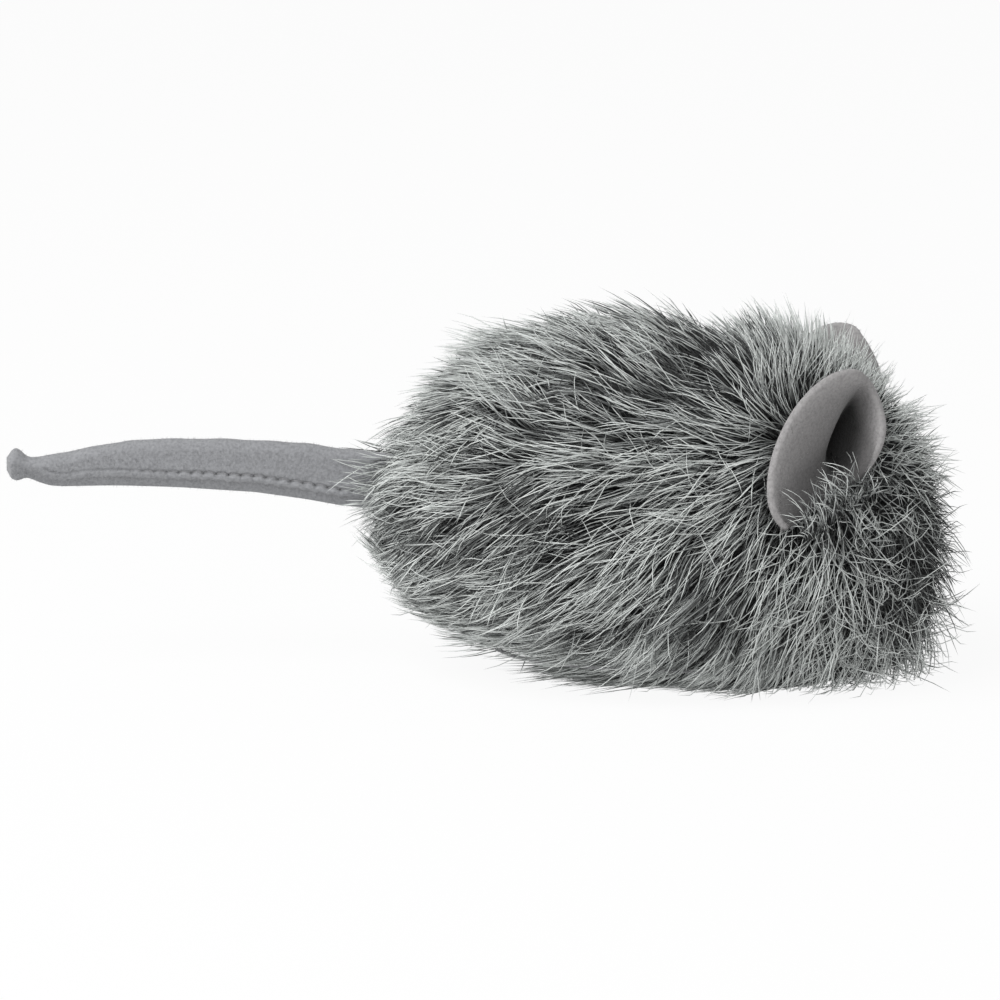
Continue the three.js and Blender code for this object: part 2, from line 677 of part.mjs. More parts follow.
function piece(name, geometry, material) {
  const mesh = new THREE.Mesh(geometry, material);
  mesh.name = name;
  return mesh;
}

const mouse = new THREE.Group();

// Each side of the toy: a fur panel with an ear tacked to it. The left one is the right one mirrored.
for (const [side, mirror] of [["right", 1], ["left", -1]]) {
  const half = new THREE.Group();
  half.scale.y = mirror;
  const ear = new THREE.Group();
  ear.applyMatrix4(earFrame);
  ear.add(
    piece(`ear_${side}`, earCup(), feltFinish),
    piece(`ear_tack_${side}`, earTack(), threadFinish),
  );
  half.add(piece(`fur_side_${side}`, geometryOf(sidePanel), furFinish), ear);
  mouse.add(half);
}

mouse.add(
  piece("base_panel", geometryOf(basePanel), baseFinish),
  piece("spine_seam_thread", spineSeam(), threadFinish),
  piece("base_seam_thread", baseSeam(), threadFinish),
  piece("closing_stitch", closingStitch(), threadFinish),
  piece("stuffing_front", geometryOf(fill.intersect(ahead(pouchMiddle.x + CLEARANCE / 2))), fillFinish),
  piece("stuffing_rear", geometryOf(fill.intersect(behind(pouchMiddle.x - CLEARANCE / 2))), fillFinish),
);

const sachet = new THREE.Group();
sachet.position.copy(pouchMiddle);
const pouchLower = piece("pouch_lower", pouchSheet(), pouchFinish);
pouchLower.rotation.x = Math.PI;
sachet.add(
  piece("pouch_upper", pouchSheet(), pouchFinish),
  pouchLower,
  piece("pouch_stitch", pouchStitch(), threadFinish),
  piece("catnip_filling", leaf, leafFinish),
);
mouse.add(sachet);

const tail = new THREE.Group();
tail.position.copy(tailPivot);
tail.add(
  piece("tail_strip", tailStrip(), feltFinish),
  piece("tail_seam_thread", tailSeamThread(), threadFinish),
  piece("tail_tack", tailTack(), threadFinish),
);
mouse.add(tail);

export default mouse;
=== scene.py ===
"""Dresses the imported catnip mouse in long-pile plush, felt and thread, with the catnip sachet inside."""

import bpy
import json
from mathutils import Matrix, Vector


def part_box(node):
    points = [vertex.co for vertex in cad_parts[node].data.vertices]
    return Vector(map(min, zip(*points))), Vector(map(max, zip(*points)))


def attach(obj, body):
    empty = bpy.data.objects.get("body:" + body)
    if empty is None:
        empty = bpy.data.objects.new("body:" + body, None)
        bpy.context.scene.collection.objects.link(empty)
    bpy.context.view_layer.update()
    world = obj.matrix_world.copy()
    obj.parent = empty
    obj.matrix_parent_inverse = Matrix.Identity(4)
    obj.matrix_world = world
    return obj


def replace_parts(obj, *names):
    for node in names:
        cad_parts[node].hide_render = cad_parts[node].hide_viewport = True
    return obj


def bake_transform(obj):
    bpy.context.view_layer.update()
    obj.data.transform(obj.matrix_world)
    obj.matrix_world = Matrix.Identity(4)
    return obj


bl_info = {
    "name": "Catnip Mouse",
    "version": (1, 0, 0),
    "blender": (4, 5, 0),
    "location": "View3D > Sidebar > Mouse",
    "description": "Dresses the packed catnip mouse in plush, felt and thread",
    "category": "Object",
}

import json
import math

import bpy
import numpy as np
from bpy.props import FloatProperty, FloatVectorProperty, IntProperty, PointerProperty
from mathutils import Vector

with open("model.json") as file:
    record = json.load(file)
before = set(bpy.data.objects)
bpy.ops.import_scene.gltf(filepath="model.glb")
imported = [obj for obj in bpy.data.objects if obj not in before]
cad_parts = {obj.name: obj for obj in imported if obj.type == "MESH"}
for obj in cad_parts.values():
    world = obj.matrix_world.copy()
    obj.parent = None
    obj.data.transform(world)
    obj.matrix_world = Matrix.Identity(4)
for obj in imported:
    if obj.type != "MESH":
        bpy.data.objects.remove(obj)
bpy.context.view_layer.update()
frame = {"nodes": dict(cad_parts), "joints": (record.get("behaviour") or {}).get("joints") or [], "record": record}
JOINTS = {joint["name"]: joint for joint in frame["joints"]}
MM = 0.001
DEG = math.radians(1)
SEED = 11

# Plush body, as the solids have it
BODY_LENGTH = 93.5 * MM
RUMP_HEIGHT = 24.5 * MM
NOSE_HEIGHT = 18 * MM
BELLY_SAG = -2.5 * MM  # the pile under the rump is drawn up from the solids' 1 mm
CHIN_SAG = 9.3 * MM
LOAF = 2.2  # roundness: 2 is an ellipse, more is boxier
RUMP_ROUND = 2.1
HEAD_ROUND = 2.55
HEAD_TAPER = 0.22
NECK_DIP = 2 * MM
NECK_FROM_NOSE = 37.5 * MM
NECK_SPREAD = 8 * MM
PILE = 4.5 * MM  # laid fibres over the backing
NOSE_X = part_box("fur_side_right")[1].x
RUMP_X = NOSE_X - BODY_LENGTH
NECK_X = NOSE_X - NECK_FROM_NOSE
HALF_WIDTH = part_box("fur_side_left")[1].y
BACK_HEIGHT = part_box("fur_side_left")[1].z

# Felt ears, as the solids have them
FELT = 1.4 * MM
EAR_LENGTH = 28 * MM
EAR_WIDTH = 17.5 * MM
EAR_RAKE = 31 * DEG
EAR_FROM_NOSE = 21 * MM
EAR_HEIGHT = 34 * MM
EAR_RUN = 12.9 * MM
EAR_CLIMB = 7.6 * MM
EAR_LEAN = 10 * DEG
EAR_PROUD = 2.5 * MM
EAR_FOLD_IN = math.radians(-JOINTS["ear_right_fold"]["range_deg"][0])
EAR_STEPS = 44  # points up the face from the sewn edge to the rim
RIM_HIGHLIGHT = 0.25  # painted highlight: how far the felt of a rim is from open felt, towards paler, as a share of the way into a fold

# Felt tail, as the solids have it
TAIL_TIP_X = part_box("tail_strip")[0].x
TAIL_SLIT = 0.5 * MM
TAIL_STITCH_LINE = 2.5 * MM
TAIL_ROOT = 1.8 * MM  # strip beyond the tack
TAIL_PIVOT = np.array(JOINTS["tail_lift"]["pos_m"])
# Outline of the tail in the photograph: millimetres along, and the heights of its top and bottom
TAIL_OUTLINE = (
    (-77.8, 34.6, 33.3),
    (-77.5, 35.6, 32.2),
    (-76.5, 36.7, 31.4),
    (-75.5, 36.3, 31.4),
    (-74.8, 35.4, 31.9),
    (-73.8, 35.1, 31.7),
    (-72.2, 35.2, 31.0),
    (-70.5, 35.5, 30.5),
    (-68.5, 35.9, 30.4),
    (-65.0, 36.7, 30.5),
    (-61.1, 37.5, 30.6),
    (-57.4, 38.0, 30.6),
    (-49.5, 38.5, 30.4),
    (-36.8, 38.4, 29.7),
    (-28.4, 37.8, 28.6),
    (-22.1, 37.0, 27.5),
    (-13.4, 36.2, 27.0),
)
TAIL_SEWN = (-64.2 * MM, -19.2 * MM)  # where the seam's stitches begin and end
TAIL_SEWN_FULL = (-46.2 * MM, -21.2 * MM)  # where they draw the felt in fully
TAIL_DRAWN = (-74.2 * MM, -71.2 * MM)  # where the groove of the seam deepens behind the rolled tip
TAIL_CRUMPLED = (-53.2 * MM, -43.2 * MM)  # where the crumpled line of the seam becomes straight
TAIL_STITCH = 2.05 * MM
TAIL_THREAD = 0.3 * MM
THREAD_SUNK = 0.3 * MM  # depth of the thread in the felt
THREAD_DIP = 0.45 * MM  # more of it at each needle hole
SEAM_OVER = 0.3 * MM  # seam over the solids' line of stitches
SEAM_SCALLOP = 0.3 * MM  # rise of the seam between needle holes
SEAM_CRUMPLE = 0.4 * MM
GROOVE_WIDE = 0.25 * MM
GROOVE_DEEP = 0.25 * MM
GROOVE_PULL = 0.26 * MM  # more of it at each needle hole
LIP_LOW = 0.65 * MM  # from the seam down to the fullest part of the lip
LIP_WIDE = 0.5 * MM
LIP_PROUD = 0.1 * MM
LIP_SCALLOP = 0.12 * MM  # more of it between needle holes
LIP_EDGE = 1.35 * MM  # from the seam down to where the flap steps in
STEP_IN = 0.35 * MM
STEP_RUN = 0.1 * MM
TAIL_HIDDEN = 5 * MM  # how far from its tack the pile hides the tail

# Catnip sachet, as the solids have it
POUCH_LENGTH = 40 * MM
POUCH_WIDTH = 29 * MM
POUCH_THICK = 15 * MM
POUCH_CLOTH = 0.6 * MM
POUCH_HEM = 2.4 * MM
POUCH_SQUARE = 3.4
POUCH_GAP = 0.6 * MM  # from the middle to each sheet
POUCH_PLACE = np.array((NOSE_X - 46.5 * MM, 0, 27 * MM))
HOLLOW = np.array((20.5, 15.2, 8.2)) * MM  # half sizes of the room for the sachet in the fibrefill
WAD_DEPTH = PILE + 1.8 * MM  # fibrefill below the face of the pile
WAD_FLOOR = 5 * MM

# How the pile is combed, read from the photograph at places on the side: millimetres along and up,
# the lay in degrees (0 straight back, 90 straight down), and how far the fibres stand up, from 0 to 1.
COMB = (
    (-17, 29, 0, 0.2),
    (-15, 35, -5, 0.1),
    (-12, 43, -18, 0.3),
    (-1, 53, -22, 0.35),
    (11, 58, -40, 0.2),
    (19, 57, -60, 0.15),
    (14, 48, -35, 0.0),
    (5, 45, -22, 0.0),
    (-2, 35, -3, 0.0),
    (15, 38, 3, 0.0),
    (27, 43, 0, 0.0),
    (27, 35, 8, 0.0),
    (15, 29, 38, 0.0),
    (5, 26, 28, 0.0),
    (-7, 23, 22, 0.0),
    (8, 20, 40, 0.0),
    (0, 13, 20, 0.0),
    (15, 8, 8, 0.0),
    (24, 19, 20, 0.0),
    (28, 10, 30, 0.0),
    (37, 44, 0, 0.0),
    (44, 41, 18, 0.0),
    (40, 32, 32, 0.0),
    (47, 25, 45, 0.1),
    (37, 22, 50, 0.0),
    (37, 12, 57, 0.0),
    (53, 18, 42, 0.1),
    (63, 21, 78, 0.1),
    (70, 13, 75, 0.1),
    (75, 17, 110, 0.2),
    (62, 3, 58, 0.0),
    (50, 3, 65, 0.0),
    (69, 34, 100, 0.6),
    (75, 24, 150, 0.5),
    (46, 58, -80, 0.8),
    (66, 52, -105, 1.2),
    (73, 42, -135, 1.1),
    (35, 54, -20, 0.25),
    (27, 52, -45, 0.1),
    (56, 56, -90, 1.1),
)
COMB_REACH = 6 * MM
# Partings where the underfur shows: millimetres along and up, and how wide.
PARTINGS = (
    (27, 52, 2.5),
    (38, 54, 3.5),
    (42, 53, 3),
    (16, 32, 2),
    (22, 33, 2.5),
    (27, 33, 2),
    (2, 24, 2),
    (24, 15, 1.5),
    (79, 22, 3),
    (73, 17, 3),
    (52, 30, 2.5),
)
# Where the fibres are longer and stand up: millimetres along and up, how wide, and how much longer.
TUFTS = (
    (76, 17, 5, 0.35),
    (69, 5, 6, 0.3),
    (7, 58, 6, 0.3),
)
# Where the pile is paler or darker: millimetres along and up, how wide, and how much more of it is pale.
# The pale rows along the floor, 6 mm high and less, are painted light from the floor on the lower pile, and
# the dark row at 52 mm along and 30 up, under the ear's lower tip, is painted shade.
SHADES = (
    (73, 18, 7, -0.6),
    (52, 30, 4, -0.4),
    (40, 16, 6, -0.45),
    (35, 51, 5, -0.4),
    (15, 51, 4, -0.35),
    (5, 33, 5, -0.35),
    (-10, 26, 4, -0.38),
    (18, 10, 3.5, -0.3),
    (-13, 33, 5, 0.28),
    (10, 57, 5, 0.25),
    (42, 45, 4, 0.45),
    (43, 28, 4.5, 0.25),
    (48, 20, 4.5, 0.3),
    (62, 22, 4.5, 0.45),
    (69, 32, 5, 0.4),
    (58, 6, 7, 0.42),
    (42, 3, 5, 0.3),
    (28, 3, 5, 0.2),
    (14, 3, 5, 0.3),
    (51, 56, 6, 0.1),
    (60, 56, 7, 0.5),
    (70, 46, 6, 0.35),
)


# Settings


class PlushSettings(bpy.types.PropertyGroup):
    """Sizes and colours of the long-pile plush."""

    guards: IntProperty(
        name="Guard hairs", description="Long pale fibres on the sides of the body", default=30000, min=100
    )
    underfibres: IntProperty(
        name="Underfur", description="Short dark fibres below the guard hairs", default=46000, min=100
    )
    belly_fibres: IntProperty(
        name="Belly fibres", description="Fibres pressed flat under the belly", default=6000, min=100
    )
    length: FloatProperty(
        name="Length", description="Mean length of a guard hair", default=15 * MM, unit="LENGTH"
    )
    under_length: FloatProperty(
        name="Underfur length", description="Mean length of an underfur fibre", default=7 * MM, unit="LENGTH"
    )
    thick: FloatProperty(
        name="Thickness", description="Thickness of a fibre", default=0.19 * MM, unit="LENGTH"
    )
    lock: FloatProperty(
        name="Lock", description="Width of a lock of fibres that lie together", default=3 * MM, unit="LENGTH"
    )
    underfur: FloatVectorProperty(
        name="Underfur colour",
        description="Colour of the underfur and of the roots",
        subtype="COLOR",
        default=(0.014, 0.015, 0.015),
    )
    dark_tip: FloatVectorProperty(
        name="Dark fibre",
        description="Colour of the darkest hairs",
        subtype="COLOR",
        default=(0.05, 0.052, 0.052),
    )
    grey_tip: FloatVectorProperty(
        name="Grey fibre",
        description="Colour of the middle hairs",
        subtype="COLOR",
        default=(0.33, 0.345, 0.34),
    )
    pale_tip: FloatVectorProperty(
        name="Pale fibre",
        description="Colour of the palest hairs",
        subtype="COLOR",
        default=(0.78, 0.81, 0.79),
    )


class FeltSettings(bpy.types.PropertyGroup):
    """Sizes and colours of the felt ears and tail."""

    ear_colour: FloatVectorProperty(
        name="Ear", description="Colour of the ears", subtype="COLOR", default=(0.27, 0.262, 0.262)
    )
    tail_colour: FloatVectorProperty(
        name="Tail", description="Colour of the tail", subtype="COLOR", default=(0.268, 0.272, 0.284)
    )
    fuzz: FloatProperty(
        name="Fuzz", description="Length of the loose fibres on the felt", default=0.5 * MM, unit="LENGTH"
    )
    cup: FloatProperty(
        name="Cup", description="Depth of the ear below its rim", default=3.6 * MM, unit="LENGTH"
    )
    pocket: FloatProperty(
        name="Pocket", description="Extra depth of the ear's folded pocket", default=8 * MM, unit="LENGTH"
    )
    rim_lift: FloatProperty(
        name="Rim lift", description="How far the ear's front rim stands out", default=2.4 * MM, unit="LENGTH"
    )


class StageSettings(bpy.types.PropertyGroup):
    """Camera and light of the photograph."""

    azimuth: FloatProperty(
        name="Azimuth", description="Camera round the toy", default=2.4 * DEG, subtype="ANGLE"
    )
    elevation: FloatProperty(
        name="Elevation", description="Camera above the floor", default=13 * DEG, subtype="ANGLE"
    )
    distance: FloatProperty(name="Distance", description="Camera to toy", default=1.0, unit="LENGTH")
    width: FloatProperty(
        name="Width", description="What the picture shows across at the toy", default=0.165, unit="LENGTH"
    )
    key: FloatProperty(name="Key", description="Power of the lamp over the toy", default=11, unit="POWER")
    fill: FloatProperty(name="Fill", description="Power of the lamp in front", default=2.8, unit="POWER")
    sky: FloatProperty(name="Sky", description="Strength of the light all round", default=0.38)


# Meshes


def put_mesh(name, points, quads, triangles, uv=None):
    """Puts points, quads and triangles into a new smooth object, with a UV for each corner if given."""
    mesh = bpy.data.meshes.new(name)
    corners = np.concatenate((quads.ravel(), triangles.ravel())).astype(np.int32)
    starts = np.concatenate(
        (np.arange(len(quads)) * 4, quads.size + np.arange(len(triangles)) * 3)
    ).astype(np.int32)
    mesh.vertices.add(len(points))
    mesh.vertices.foreach_set("co", np.ascontiguousarray(points, dtype=np.float32).ravel())
    mesh.loops.add(len(corners))
    mesh.loops.foreach_set("vertex_index", corners)
    mesh.polygons.add(len(starts))
    mesh.polygons.foreach_set("loop_start", starts)
    mesh.polygons.foreach_set("use_smooth", np.ones(len(starts), dtype=bool))
    if uv is not None:
        layer = mesh.uv_layers.new(name="OFBake")
        layer.data.foreach_set("uv", np.ascontiguousarray(uv[corners], dtype=np.float32).ravel())
    mesh.update(calc_edges=True)
    made = bpy.data.objects.new(name, mesh)
    bpy.context.scene.collection.objects.link(made)
    return made


def grid_faces(rows, columns):
    """Quads between the rows of a grid whose columns close on themselves."""
    row = np.arange(rows - 1)[:, None] * columns
    here = row + np.arange(columns)
    side = row + (np.arange(columns) + 1) % columns
    return np.stack((here, side, side + columns, here + columns), -1).reshape(-1, 4)


def put_loft(name, rings):
    """Closed skin over rings of points: quads between the rings, and a fan to the middle of each end ring."""
    rows, columns = rings.shape[:2]
    points = np.concatenate((rings.reshape(-1, 3), [rings[0].mean(0), rings[-1].mean(0)]))
    quads = grid_faces(rows, columns)
    near = np.arange(columns)
    following = (near + 1) % columns
    last = (rows - 1) * columns
    first_fan = points_of(rows * columns, following, near)
    last_fan = points_of(rows * columns + 1, last + near, last + following)
    fans = np.concatenate((first_fan, last_fan))
    a, b, c = (points[quads[:, i]] for i in range(3))
    if np.einsum("ij,ij->i", np.cross(b, c), a).sum() < 0:
        quads = quads[:, ::-1]
        fans = fans[:, ::-1]
    return put_mesh(name, points, quads, fans)


def unit(vectors):
    return vectors / np.maximum(np.linalg.norm(vectors, axis=-1, keepdims=True), 1e-12)


def points_of(x, y, z):
    """Points from their coordinates, of one shape or not."""
    return np.stack(np.broadcast_arrays(x, y, z), -1)


def ramp(values, none, full):
    """Share of the way from the value for 0 to the value for 1, held between them."""
    return np.clip((values - none) / (full - none), 0, 1)


def eased(share):
    """A share that leaves 0 and comes to 1 gently."""
    return share * share * (3 - 2 * share)


def bell(values, width):
    """Bell curve: 1 at 0, and falling to 1/e at the width."""
    return np.exp(-((values / width) ** 2))


def varied(random, mean, spread, low, high, count=None):
    """Normal draws, held between a low and a high value."""
    return np.clip(random.normal(mean, spread, count), low, high)


def all_round(count):
    """Angles evenly round a circle."""
    return np.arange(count) * (2 * math.pi / count)


def turned(vectors, axes, angles):
    """Vectors turned about unit axes square to them."""
    angles = np.asarray(angles)[..., None]
    return vectors * np.cos(angles) + np.cross(axes, vectors) * np.sin(angles)


def drift(points, scale, seed):
    """Smooth noise from -1 to 1: the mean of plane waves of one wavelength in random directions."""
    random = np.random.default_rng(seed)
    waves = unit(random.normal(size=(14, 3))) * (2 * math.pi / scale)
    phases = random.uniform(0, 2 * math.pi, 14)
    return np.cos(points @ waves.T + phases).mean(-1) * 2.4


def squared(values, squareness):
    """Sine or cosine of a superellipse."""
    return np.sign(values) * np.abs(values) ** (2 / squareness)


# Body shape


def section(t, depth=0.0):
    """Place, axis height, half width, rise and drop of the fullest section at share t of the body. The drop
    grows with the cube of t, because the chin droops."""
    x = RUMP_X + depth + (BODY_LENGTH - 2 * depth) * t
    axis = RUMP_HEIGHT + (NOSE_HEIGHT - RUMP_HEIGHT) * t
    neck = NECK_DIP * bell(x - NECK_X, NECK_SPREAD)
    half = (HALF_WIDTH - depth) * (1 - HEAD_TAPER * np.maximum(0, 2 * t - 1) ** 2)
    sag = BELLY_SAG + (CHIN_SAG - BELLY_SAG) * t**3
    return x, axis, half, BACK_HEIGHT - neck - depth - axis, axis + sag - depth


def swell(t, roundness):
    """Share of the full section at share t of the body: (1 - |2t - 1|^n)^(1/n) for a roundness n."""
    return np.maximum(0, 1 - np.abs(2 * t - 1) ** roundness) ** (1 / roundness)


def profile_round(t):
    """Roundness of the profile: the rump's behind the middle of the body, and the head's before it."""
    return np.where(np.asarray(t) < 0.5, RUMP_ROUND, HEAD_ROUND)


def body_skin(t, turn, depth):
    """Skin a given depth inside the pile at share t along and angle turn round: a superellipse whose half
    width and height are those of the section, each shrunk by its own swell."""
    x, axis, half, rise, drop = section(t, depth)
    up = squared(np.sin(turn), LOAF)
    z = axis + swell(t, profile_round(t)) * up * np.where(up > 0, rise, drop)
    return points_of(x, swell(t, LOAF) * half * squared(np.cos(turn), LOAF), z)


def level(points):
    """How full the body is at each point: 0 at its middle and 1 on the skin of the pile. The roundness along
    the body goes from that of the width to that of the profile with the share of the height."""
    t = (points[..., 0] - RUMP_X) / BODY_LENGTH
    _, axis, half, rise, drop = section(np.clip(t, 0, 1))
    up = points[..., 2] - axis
    high = (np.abs(up) / np.where(up > 0, rise, drop)) ** LOAF
    wide = (np.abs(points[..., 1]) / half) ** LOAF
    across = high + wide + 1e-12
    roundness = (wide * LOAF + high * profile_round(t)) / across
    return (np.abs(2 * t - 1) ** roundness + across ** (roundness / LOAF)) ** (1 / roundness)


def outward(points):
    """Unit normals of the body's skin through each point, by central differences of the level."""
    step = 1e-5
    slope = np.stack([level(points + s) - level(points - s) for s in step * np.eye(3)], -1)
    return unit(slope)


# Ear and tail shapes


def ear_axes():
    """Origin and three axes of the right ear: along its sewn edge, up the cup, and out of it."""

    def seat(from_nose, height):
        """Point of the right side's skin at a place and a height, by the equation of its superellipse."""
        t = 1 - from_nose / BODY_LENGTH
        x, axis, half, rise, drop = section(t)
        high = abs(height - axis) / (rise if height > axis else drop) / swell(t, profile_round(t))
        return np.array((x, -half * swell(t, LOAF) * (1 - high**LOAF) ** (1 / LOAF), height))

    rear = seat(EAR_FROM_NOSE + EAR_RUN / 2, EAR_HEIGHT - EAR_CLIMB / 2)
    front = seat(EAR_FROM_NOSE - EAR_RUN / 2, EAR_HEIGHT + EAR_CLIMB / 2)
    along = unit(front - rear)
    rise = seat(EAR_FROM_NOSE, EAR_HEIGHT + EAR_WIDTH / 4) - seat(EAR_FROM_NOSE, EAR_HEIGHT - EAR_WIDTH / 4)
    out = turned(-unit(np.cross(rise, along)), along, EAR_LEAN)
    return (rear + front) / 2 + out * EAR_PROUD, np.array((along, np.cross(out, along), out))


EAR_ORIGIN, EAR_AXES = ear_axes()
EAR_LONG = EAR_LENGTH / 2
EAR_WIDE = EAR_WIDTH / 2
EAR_ALONG = np.array((math.cos(EAR_RAKE), math.sin(EAR_RAKE)))
EAR_ACROSS = np.array((-EAR_ALONG[1], EAR_ALONG[0]))
EAR_BASE = 2 * EAR_ALONG[0] / EAR_LONG / ((EAR_ALONG[0] / EAR_LONG) ** 2 + (EAR_ALONG[1] / EAR_WIDE) ** 2)
EAR_MIDDLE = np.array((-EAR_BASE / 2, 0)) + EAR_ALONG * EAR_LONG


def ear_places(points):
    """Points in the ear's own axes. Both sides are taken to the right ear."""
    folded = points * (1, 0, 1) - np.abs(points) * (0, 1, 0)
    return (folded - EAR_ORIGIN) @ EAR_AXES.T


def ear_oval(x, y):
    """Shares of the half length and half width of the ear's oval at a place in the rim's plane."""
    from_middle = np.stack((x, y), -1) - EAR_MIDDLE
    return from_middle @ EAR_ALONG / EAR_LONG, from_middle @ EAR_ACROSS / EAR_WIDE


def ear_well(x, y):
    """How deep a place lies in the fold of the ear, from 0 to 1: a bell that runs along the ear near its
    front wall, wider to the rear and to the tip, and gone at the foot."""
    long, wide = ear_oval(x, y)
    aside = wide + 0.6 + 0.02 * long
    across = bell(aside, np.where(aside > 0, np.maximum(0.1, 0.23 + 0.22 * long), 0.2))
    return across * np.exp(-(((long - 0.5) / 0.62) ** 4)) * ramp(y, 0, 2 * MM)


def ear_floor(x, y):
    """Height of the ear's face over its rim plane: a bowl that falls gently from the rear rim and rises
    steeply to a front rim that stands out, with a well where it is folded."""
    felt = bpy.context.scene.mouse_felt
    long, wide = ear_oval(x, y)
    taper = np.maximum(1e-4, 1 - long**2)
    share = np.clip(wide / np.sqrt(taper), -1, 1)
    low = -0.45  # share of the half width where the bowl is lowest
    down = np.where(share > low, (1 - share) / (1 - low), (1 + share) / (1 + low))
    bowl = (eased(down) + down) / 2
    rooted = ramp(y, 0, 6 * MM)
    sewn = 0.35 + 0.65 * eased(rooted)
    lip = felt.rim_lift * ramp(share, -0.5, -1) ** 2 * np.sqrt(taper) * rooted
    edge = eased(np.clip(1.5 * down, 0, 1)) * np.sqrt(taper)
    return lip - felt.cup * bowl * taper**0.6 * sewn - felt.pocket * ear_well(x, y) * edge


def under_ears(points, room):
    """Points pushed in below the ears' backs, pressed to the head or not, with room to spare."""
    x, y, z = np.moveaxis(ear_places(points), -1, 0)
    long, wide = ear_oval(x, y)
    floor = ear_floor(x, y) - FELT - room - np.maximum(0, y) * math.tan(EAR_FOLD_IN)
    push = np.where((long**2 + wide**2 < 1.25) & (y > -2 * MM), np.maximum(0, z - floor), 0)
    inward = EAR_AXES[2] * np.where(points[..., 1:2] > 0, (1, -1, 1), (1, 1, 1))
    return points - push[..., None] * inward


def tail_edges(x):
    """Heights of the top and bottom of the tail at places along it, between the stations of its outline."""
    along, top, bottom = np.array(TAIL_OUTLINE).T * MM
    return np.interp(x, along, top), np.interp(x, along, bottom)


# Materials


def new_material(name, roughness):
    material = bpy.data.materials.new(name)
    material.use_nodes = True
    shader = material.node_tree.nodes["Principled BSDF"]
    shader.inputs["Roughness"].default_value = roughness
    shader.inputs["Metallic"].default_value = 0
    return material, material.node_tree.nodes, material.node_tree.links, shader


def add_ramp(nodes, links, source, stops):
    """Colour ramp through (place, colour) stops, read from a socket."""
    shades = nodes.new("ShaderNodeValToRGB")
    elements = shades.color_ramp.elements
    while len(elements) < len(stops):
        elements.new(1)
    for element, (place, colour) in zip(elements, stops):
        element.position = place
        element.color = (*colour, 1)
    links.new(source, shades.inputs["Fac"])
    return shades.outputs["Color"]


def add_noise(nodes, links, scale, detail):
    """Noise over Object coordinates."""
    place = nodes.new("ShaderNodeTexCoord")
    noise = nodes.new("ShaderNodeTexNoise")
    noise.inputs["Scale"].default_value = scale
    noise.inputs["Detail"].default_value = detail
    links.new(place.outputs["Object"], noise.inputs["Vector"])
    return noise.outputs["Fac"]


def add_bump(nodes, links, shader, height, strength, distance):
    bump = nodes.new("ShaderNodeBump")
    bump.inputs["Strength"].default_value = strength
    bump.inputs["Distance"].default_value = distance
    links.new(height, bump.inputs["Height"])
    links.new(bump.outputs["Normal"], shader.inputs["Normal"])


def mix_colours(nodes, links, amount, low, high):
    """Mix of two colour sockets by a third socket."""
    mix = nodes.new("ShaderNodeMix")
    mix.data_type = "RGBA"
    links.new(amount, mix.inputs["Factor"])
    links.new(low, mix.inputs["A"])
    links.new(high, mix.inputs["B"])
    return mix.outputs["Result"]


def pile_material():
    """Fibre colour: across the map a fibre's own tone, up the map from the dark root to the tip."""
    plush = bpy.context.scene.mouse_plush
    material, nodes, links, shader = new_material("plush_pile", 0.55)
    shader.inputs["Specular IOR Level"].default_value = 0.3
    place = nodes.new("ShaderNodeUVMap")
    place.uv_map = "OFBake"
    split = nodes.new("ShaderNodeSeparateXYZ")
    links.new(place.outputs["UV"], split.inputs["Vector"])
    tips = add_ramp(
        nodes,
        links,
        split.outputs["X"],
        ((0.0, plush.underfur), (0.3, plush.dark_tip), (0.6, plush.grey_tip), (1.0, plush.pale_tip)),
    )
    roots = add_ramp(nodes, links, split.outputs["X"], ((0.0, plush.underfur), (1.0, plush.dark_tip)))
    along = add_ramp(nodes, links, split.outputs["Y"], ((0.12, (0, 0, 0)), (0.45, (1, 1, 1))))
    links.new(mix_colours(nodes, links, along, roots, tips), shader.inputs["Base Color"])
    return material


def backing_material():
    """Knitted backing: charcoal with a fine knit."""
    plush = bpy.context.scene.mouse_plush
    material, nodes, links, shader = new_material("plush_backing", 0.95)
    knit = add_noise(nodes, links, 2600, 2)
    charcoal = add_ramp(nodes, links, knit, ((0.3, plush.underfur), (0.8, plush.dark_tip)))
    links.new(charcoal, shader.inputs["Base Color"])
    add_bump(nodes, links, shader, knit, 0.6, 0.3 * MM)
    return material


def felt_material(name, colour):
    """Felt: pressed wool, mottled over half a millimetre, with a fibrous bump. Its fold attribute mixes in painted
    shade: it takes the felt from its palest, a painted highlight on a rim, to its darkest, painted shade deep
    in a fold."""
    material, nodes, links, shader = new_material(name, 0.95)
    shader.inputs["Specular IOR Level"].default_value = 0.15
    shader.inputs["Sheen Weight"].default_value = 0.25
    shader.inputs["Sheen Roughness"].default_value = 0.6
    wool = np.array(colour)
    mottle = add_noise(nodes, links, 2200, 4)
    open_felt = add_ramp(nodes, links, mottle, ((0.32, wool), (0.5, 1.23 * wool), (0.7, 1.4 * wool)))
    # Painted shade: a darkened copy of the felt, mixed in by the fold attribute where folds and edges lie in shade
    shaded_felt = add_ramp(nodes, links, mottle, ((0, 0.04 * wool), (1, 0.1 * wool)))
    fold = nodes.new("ShaderNodeAttribute")
    fold.attribute_name = "fold"
    mixed = mix_colours(nodes, links, fold.outputs["Fac"], open_felt, shaded_felt)
    links.new(mixed, shader.inputs["Base Color"])
    add_bump(nodes, links, shader, add_noise(nodes, links, 2600, 4), 0.5, 0.25 * MM)
    return material


